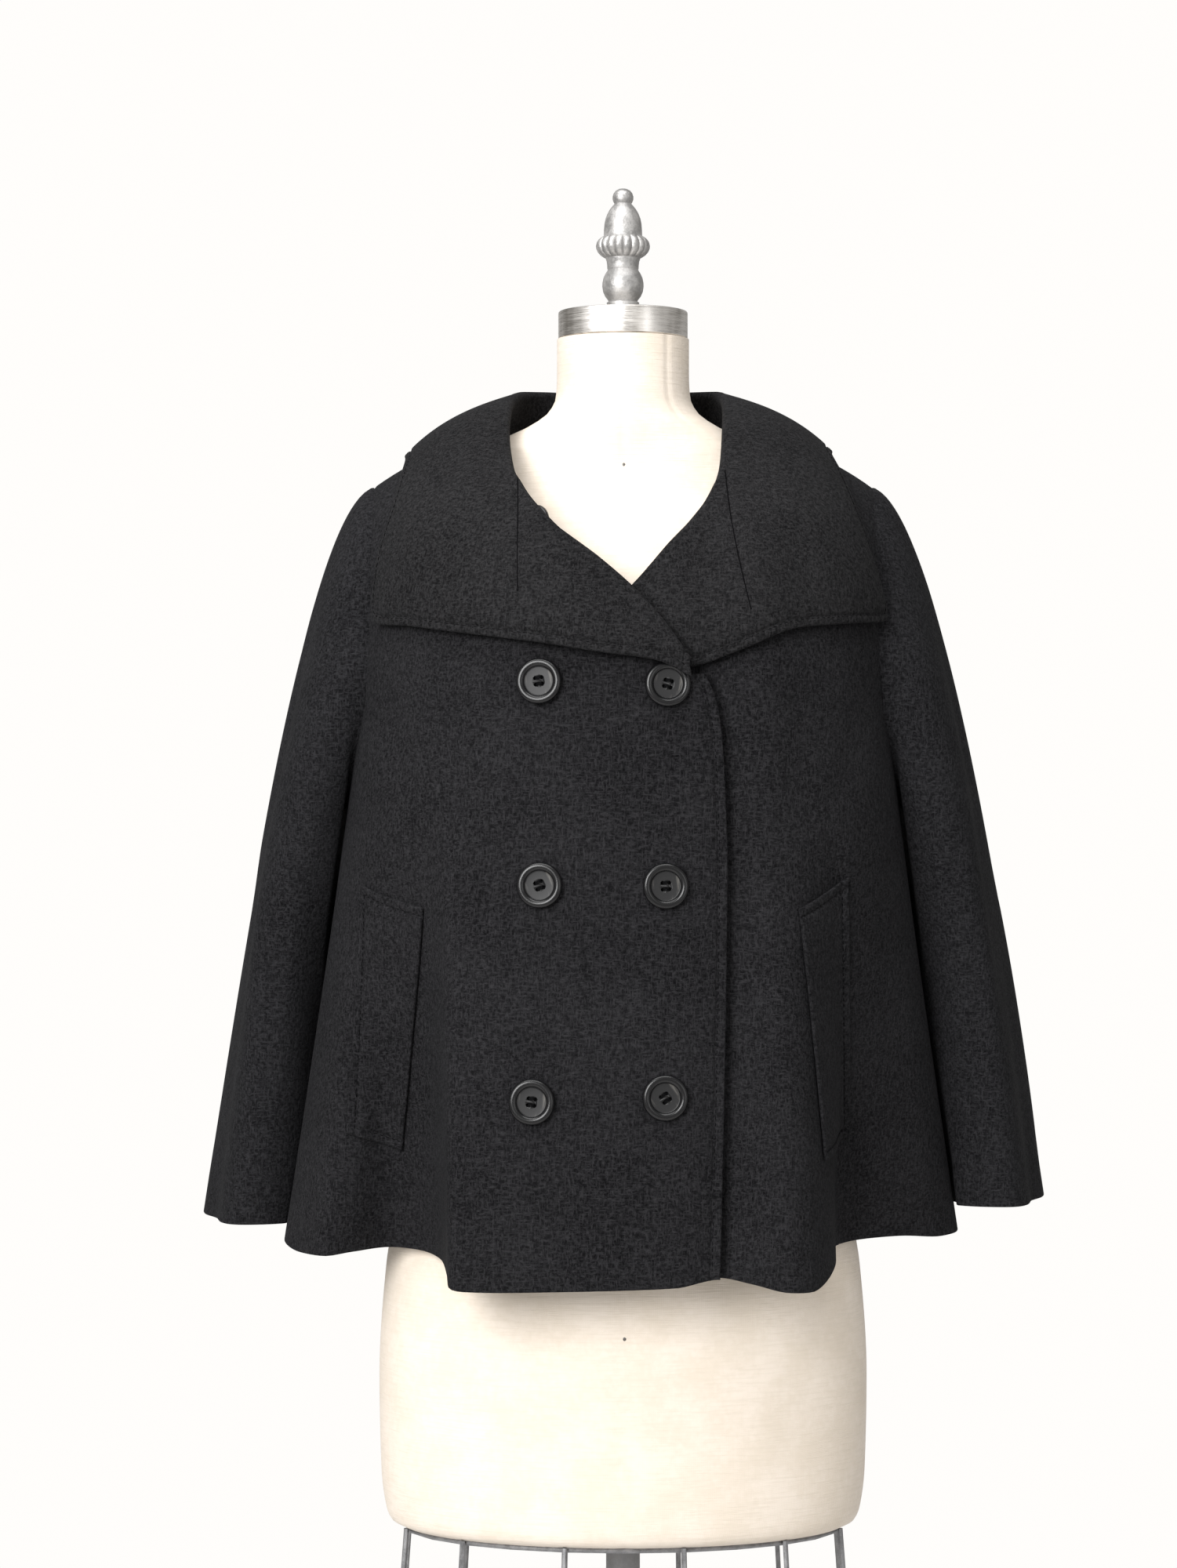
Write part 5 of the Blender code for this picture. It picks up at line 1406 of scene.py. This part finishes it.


# The collar's copy of the same wool, a little lighter: painted light
collar_wool_lit_copy = melton("charcoal_melton_collar", (0.0007, 0.0007, 0.0010),
                     (0.0235, 0.0230, 0.0242), 0.01)
collar_shells = {}
for side_name, table in (("right", COLLAR_RIGHT), ("left", COLLAR_LEFT)):
    collar = collar_grid(table, SIDES[side_name], side_name == "left")
    collar = lay_again(collar, 0, STITCHED_EDGE, PLAIN_EDGE, COLLAR_POINTS[0])
    on_front = collar[:, :, 1] < FOLDS_END_Y
    on_fall = np.arange(collar.shape[1])[None, :] > STAND_ROWS
    press(collar, folds_across(collar, COLLAR_FOLDS[side_name]) * (on_front & on_fall))
    collar_shells[side_name] = cloth_shell(f"collar_{side_name}", collar, 0.0, COLLAR_CLOTH,
                                           (0.0, 0.45, 1.0, 0.0), collar_wool_lit_copy, stitched=(0, 3))
    collar_piece = collar_shells[side_name][0]
    stands_for(collar_piece, "charcoal_wool", f"coat_collar_{side_name}")


# The pocket welts
# Broad patches of the doubled wool, laid on the fronts slanting a little and topstitched
# down inside their outer, upper and lower edges; their inner edge is the pocket's mouth.

WELT_CLOTH = 0.0028
WELT_GAP = 0.0007
WELT_LINES = (60, 110)
WELT_POINTS = (22, 46)
# Columns: side, top_in, top_in_z, top_out, top_out_z, low_out, low_out_z, low_in, low_in_z
WELTS = (
    ("right", 42.0, 1.0570, 62.5, 1.0730, 63.0, 0.8940, 49.5, 0.8820),
    ("left", 32.0, 1.0570, 47.5, 1.0790, 48.5, 0.8930, 34.5, 0.8790),
)
welt_shells = {}
for side_name, *corners in WELTS:
    face, folds = FRONT_FACES[side_name]
    u, v = np.meshgrid(*(np.linspace(0, 1, count) for count in WELT_LINES), indexing="ij")
    top_in, top_out, low_out, low_in = np.reshape(corners, (4, 2, 1, 1))
    upper, lower = top_in * (1 - u) + top_out * u, low_in * (1 - u) + low_out * u
    angles, heights = upper * (1 - v) + lower * v
    welt = face(SIDES[side_name] * angles, heights)
    welt = lay_again(welt, 1, STITCHED_EDGE, STITCHED_EDGE, WELT_POINTS[1])
    welt = lay_again(welt, 0, STITCHED_EDGE, STITCHED_EDGE, WELT_POINTS[0])
    press(welt, folds_across(welt, folds) - WELT_GAP)
    welt_shells[side_name] = cloth_shell(f"welt_{side_name}", welt, 0.0, WELT_CLOTH,
                                         (0.0, 0.0, 0.0, 0.0), body_wool, stitched=(1, 2, 3))
    welt_piece = welt_shells[side_name][0]
    stands_for(welt_piece, "charcoal_wool", f"coat_welt_{side_name}")


# The topstitching
# Dark buttonhole thread in short, even stitches that sink in the wool: along the front edge,
# round the collar's outer edge and inside three edges of each welt.

STITCH_PITCH = 0.0046
STITCH_LENGTH = 0.0036
STITCH_RADIUS = 0.00036
# Columns: share of the stitch, half width, height, both in radii
STITCH_SHAPE = (
    (0.00, 0.35, -1.55),
    (0.18, 0.90, -0.65),
    (0.50, 1.00, -0.20),
    (0.82, 0.90, -0.65),
    (1.00, 0.35, -1.55),
)
# The dark line along each collar dart is painted shade: it stands for the shade in the dart's
# sunken seam
DART_SHADE_RADIUS = 0.00055
DART_SHADE_RISE = DART_SHADE_RADIUS * 0.35
DART_POINTS = 60
# Columns: x, z, down each wing's dart
DARTS = {
    "right": ((-0.0762, 1.3690), (-0.0756, 1.3400), (-0.0757, 1.3100), (-0.0752, 1.2790)),
    "left": ((0.0722, 1.3700), (0.0752, 1.3380), (0.0812, 1.3020), (0.0893, 1.2660)),
}

# The thread's finish, also used for the dark line along each dart, which is painted shade
stitch_thread = mottled("stitch_thread", 1500.0, (0.0012, 0.0012, 0.0014),
                        (0.0050, 0.0050, 0.0056), Specular_IOR_Level=0.04, Roughness=0.92)


def line_inside(outer, normals, edge, distance):
    """The places on a piece's face at a distance inside one of its edges"""
    axis = edge // 2
    grid = outer if axis == 1 else outer.transpose(1, 0, 2)
    facing = normals if axis == 1 else normals.transpose(1, 0, 2)
    places, directions = [], []
    for line, turned_to in zip(grid, facing):
        if edge % 2:
            line, turned_to = line[::-1], turned_to[::-1]
        length = run_length(line)
        places.append(points_at(line, length, distance))
        directions.append(points_at(turned_to, length, distance))
    return np.array(places), np.array(directions)


def thread_ring(shape, centre, first, second, corners=6):
    """A ring of points round a thread's middle, from its two half widths"""
    return [shape.verts.new(centre + first * math.cos(turn) + second * math.sin(turn))
            for turn in np.arange(corners) * 2 * math.pi / corners]


def stitch_row(shape, places, directions, start, end):
    """Adds one row of stitches along a line, between distances from its two ends"""
    length = run_length(places)
    at = start + STITCH_PITCH / 2
    while at < length[-1] - end:
        ends = [points_at(places, length, at + way * STITCH_LENGTH / 2) for way in (-1, 1)]
        facing = points_at(directions, length, at)
        facing /= np.linalg.norm(facing)
        run = ends[1] - ends[0]
        beside = np.cross(facing, run / max(np.linalg.norm(run), 1e-9))
        rings = []
        for part, reach, sink in STITCH_SHAPE:
            centre = ends[0] + run * part + facing * STITCH_RADIUS * sink
            half = STITCH_RADIUS * reach
            rings.append(thread_ring(shape, centre, beside * half, facing * half))
        join_rings(shape, rings)
        at += STITCH_PITCH


def dart_shade_line(shape, piece, line):
    """Adds a thin dark line along a dart, on places seen in front: painted shade for the dart's
    closed seam, where the cloth is pressed in
    """
    rings = []
    places = [piece.ray_cast(Vector((x, -0.5, z)), Vector((0, 1, 0)))[1:3] for x, z in line]
    for (place, facing), (after, _) in zip(places[:-1], places[1:]):
        beside = facing.cross((after - place).normalized())
        rings.append(thread_ring(shape, place, beside * DART_SHADE_RADIUS, facing * DART_SHADE_RISE))
    join_rings(shape, rings)


def show_thread(name, shape):
    """Thread on the wool as one visible piece"""
    bmesh.ops.recalc_face_normals(shape, faces=shape.faces)
    piece = show(mesh_of(name, shape), stitch_thread)
    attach(piece, "root")


def stitching(name, shell, *rows):
    """Topstitching inside edges of a piece: edge, distances left free at its two ends"""
    shape = bmesh.new()
    for edge, start, end in rows:
        stitch_row(shape, *line_inside(*shell[1:], edge, TOPSTITCH), start, end)
    show_thread(name, shape)


for side_name in SIDES:
    stitching(f"stitches_front_{side_name}", front_shells[side_name], (0, 0.003, 0.006))
    stitching(f"stitches_collar_{side_name}", collar_shells[side_name], (3, 0.006, 0.002))
    # Each dart's dark line is painted shade in its closed seam
    dart_shade_shape = bmesh.new()
    dart_shade_line(dart_shade_shape, collar_shells[side_name][0],
              fair(range(4), DARTS[side_name])(np.linspace(0, 3, DART_POINTS)))
    show_thread(f"dart_{side_name}", dart_shade_shape)
    stitching(f"stitches_welt_{side_name}", welt_shells[side_name],
              (1, TOPSTITCH, TOPSTITCH), (2, 0.002, TOPSTITCH), (3, 0.002, TOPSTITCH))


# The buttons
# Turned black horn: a broad polished rim round a sunken matt centre with four holes, sewn on
# with dark thread. Six large ones close the right front, and a smaller one sits inside the
# collar.

BUTTON_SIDES = 96
BUTTON_HOLE = 0.00135
BUTTON_HOLE_CIRCLE = 0.0033
BUTTON_THICK = 0.0050
# Columns: share of the radius, share of the thickness
BUTTON_OUTLINE = (
    (0.800, 0.000),
    (0.880, 0.010),
    (0.945, 0.085),
    (0.985, 0.230),
    (1.000, 0.400),
    (0.996, 0.560),
    (0.978, 0.720),
    (0.946, 0.860),
    (0.905, 0.950),
    (0.860, 0.990),
    (0.815, 1.000),
    (0.770, 0.985),
    (0.725, 0.930),
    (0.685, 0.830),
    (0.655, 0.700),
    (0.635, 0.600),
    (0.615, 0.560),
    (0.590, 0.550),
    (0.300, 0.540),
)
BUTTON_RADIUS = 0.0162
SMALL_BUTTON_RADIUS = 0.0135
BUTTON_THREAD = 0.00034
BUTTON_THREAD_SEAT = 0.54
# Each pair of holes has two threads side by side, arched, with their ends drawn in
THREAD_LANES = (-0.35, 0.35)
THREAD_PARTS = (0.0, 0.12, 0.3, 0.5, 0.7, 0.88, 1.0)
THREAD_ARCH = 0.0006
THREAD_DRAWN_IN = 0.0005

horn, horn_tree, horn_shader = start_material("black_horn", Specular_IOR_Level=0.38)
horn_place = object_place(horn_tree)
horn_reach = add_node(horn_tree, "ShaderNodeVectorMath", operation="LENGTH")
horn_tree.links.new(stretch(horn_tree, horn_place, (1.0, 1.0, 0.0)), horn_reach.inputs[0])
horn_centre = remap(horn_tree, horn_reach.outputs["Value"], 0.0106, 0.0100)
horn_noise = noise(horn_tree, stretch(horn_tree, horn_place, (1.0, 0.16, 1.0)), 210.0, 4.0, 0.6)
horn_streak = remap(horn_tree, horn_noise, 0.52, 0.78)
horn_grain = combine(horn_tree, "MULTIPLY", horn_streak, horn_centre)
horn_colour = blend_colours(horn_tree, horn_grain, (0.0045, 0.0045, 0.0050), (0.095, 0.090, 0.082))
horn_tree.links.new(horn_colour, horn_shader.inputs["Base Color"])
horn_tree.links.new(combine(horn_tree, "MULTIPLY_ADD", horn_centre, 0.22, 0.26),
                    horn_shader.inputs["Roughness"])
bump(horn_tree, horn_shader, horn_streak, 0.15, 0.0001)


def drill_button(name, radius):
    """A button with its holes and thread, its back at height 0"""
    share = radius / BUTTON_RADIUS
    blank = turn_on_lathe(name + "_blank", [(out * radius, up * BUTTON_THICK)
                                            for out, up in BUTTON_OUTLINE], BUTTON_SIDES, horn)
    drill = bmesh.new()
    holes = [(BUTTON_HOLE_CIRCLE * share * math.cos(math.radians(45 + 90 * k)),
              BUTTON_HOLE_CIRCLE * share * math.sin(math.radians(45 + 90 * k))) for k in range(4)]
    for x, y in holes:
        made = bmesh.ops.create_cone(drill, cap_ends=True, segments=20, radius1=BUTTON_HOLE * share,
                                     radius2=BUTTON_HOLE * share, depth=3 * BUTTON_THICK)
        bmesh.ops.translate(drill, verts=made["verts"], vec=(x, y, BUTTON_THICK / 2))
    cutter = bpy.data.objects.new(name + "_drill", mesh_of(name + "_drill", drill))
    bpy.context.collection.objects.link(cutter)
    cut = blank.modifiers.new("Holes", "BOOLEAN")
    cut.operation = "DIFFERENCE"
    cut.object = cutter
    bpy.context.view_layer.update()
    graph = bpy.context.evaluated_depsgraph_get()
    mesh = bpy.data.meshes.new_from_object(blank.evaluated_get(graph))
    mesh.name = name
    for spare in (blank, cutter):
        bpy.data.objects.remove(spare)
    thread = bmesh.new()
    for first, second in ((0, 1), (2, 3)):
        for lane in THREAD_LANES:
            start = Vector((*holes[first], 0.0))
            end = Vector((*holes[second], 0.0))
            run = (end - start).normalized()
            aside = Vector((-run.y, run.x, 0.0)) * lane * BUTTON_HOLE * share
            rings = []
            for part in THREAD_PARTS:
                rise = BUTTON_THREAD_SEAT * BUTTON_THICK
                rise += THREAD_ARCH * math.sin(math.pi * part) ** 0.5
                rise -= THREAD_DRAWN_IN * abs(2 * part - 1) ** 6
                rings.append(thread_ring(
                    thread, start.lerp(end, part) + aside + Vector((0, 0, rise)),
                    aside.normalized() * BUTTON_THREAD, Vector((0, 0, BUTTON_THREAD)), 8))
            join_rings(thread, rings)
    bmesh.ops.recalc_face_normals(thread, faces=thread.faces)
    thread_mesh = mesh_of(name + "_thread", thread)
    thread_mesh.shade_smooth()
    thread_mesh.materials.append(stitch_thread)
    return mesh, thread_mesh


large_button = drill_button("large_button", BUTTON_RADIUS)
small_button = drill_button("small_button", SMALL_BUTTON_RADIUS)
# Degrees by which each sewn button has turned
BUTTON_TURNS = {"coat_button_1": 8, "coat_button_2": -14, "coat_button_3": 21, "coat_button_4": 3,
                "coat_button_5": -7, "coat_button_6": 33, "coat_button_inner": 12}
for node_name, degrees in BUTTON_TURNS.items():
    corners = np.array([v.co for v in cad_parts[node_name].data.vertices])
    middle = (corners.max(0) + corners.min(0)) / 2
    facing = np.linalg.svd(corners - corners.mean(0), full_matrices=False)[2][2]
    holes = np.linalg.norm(corners - middle, axis=1) < 0.45 * BUTTON_RADIUS
    if ((corners[holes] - middle) @ facing).mean() > 0:
        facing = -facing
    seat = middle + facing * ((corners - middle) @ facing).min()
    mesh, thread_mesh = small_button if node_name == "coat_button_inner" else large_button
    turned_to = Vector(facing).to_track_quat("Z", "Y")
    spin = Quaternion((0, 0, 1), math.radians(degrees))
    button = bpy.data.objects.new(node_name.replace("coat_", ""), mesh)
    threads = bpy.data.objects.new(button.name + "_thread", thread_mesh)
    for piece in (button, threads):
        piece.location = seat
        piece.rotation_mode = "QUATERNION"
        piece.rotation_quaternion = turned_to @ spin
        bpy.context.collection.objects.link(piece)
        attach(piece, "root")
    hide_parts(node_name)


# The studio
# A pale floor, a near-white surround, a broad soft light on each side and one above.

FLOOR_RADIUS = 2.2
FLOOR_SIDES = 96
FLOOR_DROP = 0.0006

floor_paint = mottled("studio_floor_paint", 3.0, (0.74, 0.73, 0.72), (0.80, 0.79, 0.78),
                      Roughness=0.9)
floor_shape = bmesh.new()
bmesh.ops.create_circle(floor_shape, cap_ends=True, segments=FLOOR_SIDES, radius=FLOOR_RADIUS)
studio_floor = show(mesh_of("studio_floor", floor_shape), floor_paint)
studio_floor.location = (0.0, 0.0, -FLOOR_DROP)

surround = bpy.data.worlds.new("studio_surround")
surround.use_nodes = True
surround_tree = surround.node_tree
wall_seen = surround_tree.nodes["Background"]
wall_seen.inputs["Color"].default_value = (1.0, 0.985, 0.965, 1.0)
wall_seen.inputs["Strength"].default_value = 1.0
wall_light = add_node(surround_tree, "ShaderNodeBackground")
wall_light.inputs["Color"].default_value = (1.0, 0.98, 0.95, 1.0)
wall_light.inputs["Strength"].default_value = 0.42
wall_mix = add_node(surround_tree, "ShaderNodeMixShader")
surround_tree.links.new(add_node(surround_tree, "ShaderNodeLightPath").outputs["Is Camera Ray"],
                        wall_mix.inputs["Fac"])
surround_tree.links.new(wall_light.outputs["Background"], wall_mix.inputs[1])
surround_tree.links.new(wall_seen.outputs["Background"], wall_mix.inputs[2])
surround_tree.links.new(wall_mix.outputs["Shader"],
                        surround_tree.nodes["World Output"].inputs["Surface"])
bpy.context.scene.world = surround
bpy.context.scene.view_settings.view_transform = "Standard"

# Columns: name, place, aim, width, height, watts
STUDIO_LIGHTS = (
    ("light_left", (-1.55, -2.75, 2.15), (0.0, 0.0, 1.00), 1.6, 1.8, 134.0),
    ("light_right", (1.7, -2.7, 1.4), (0.0, 0.0, 0.95), 1.6, 1.8, 15.0),
    ("light_above", (-0.2, -0.6, 3.0), (0.0, 0.0, 1.20), 2.0, 1.4, 34.0),
)
for name, place, aim, width, height, watts in STUDIO_LIGHTS:
    lamp = bpy.data.lights.new(name, "AREA")
    lamp.shape = "RECTANGLE"
    lamp.size = width
    lamp.size_y = height
    lamp.energy = watts
    light = bpy.data.objects.new(name, lamp)
    light.location = place
    light.rotation_mode = "QUATERNION"
    light.rotation_quaternion = (Vector(aim) - Vector(place)).to_track_quat("-Z", "Y")
    bpy.context.collection.objects.link(light)


# The camera
# Level, in front of the chest, a little to the coat's right of the middle.

CAMERA_DISTANCE = 2.8
CAMERA_ASIDE = -0.0255
CAMERA_HEIGHT = 1.145
VIEW_HEIGHT = 1.16
lens = bpy.data.cameras.new("photo_camera")
lens.lens = 36 * CAMERA_DISTANCE / VIEW_HEIGHT
lens.dof.use_dof = False
camera = bpy.data.objects.new("photo_camera", lens)
camera.location = (CAMERA_ASIDE, -CAMERA_DISTANCE, CAMERA_HEIGHT)
camera.rotation_euler = (math.radians(90), 0.0, 0.0)
bpy.context.collection.objects.link(camera)
bpy.context.scene.camera = camera

bpy.context.view_layer.update()
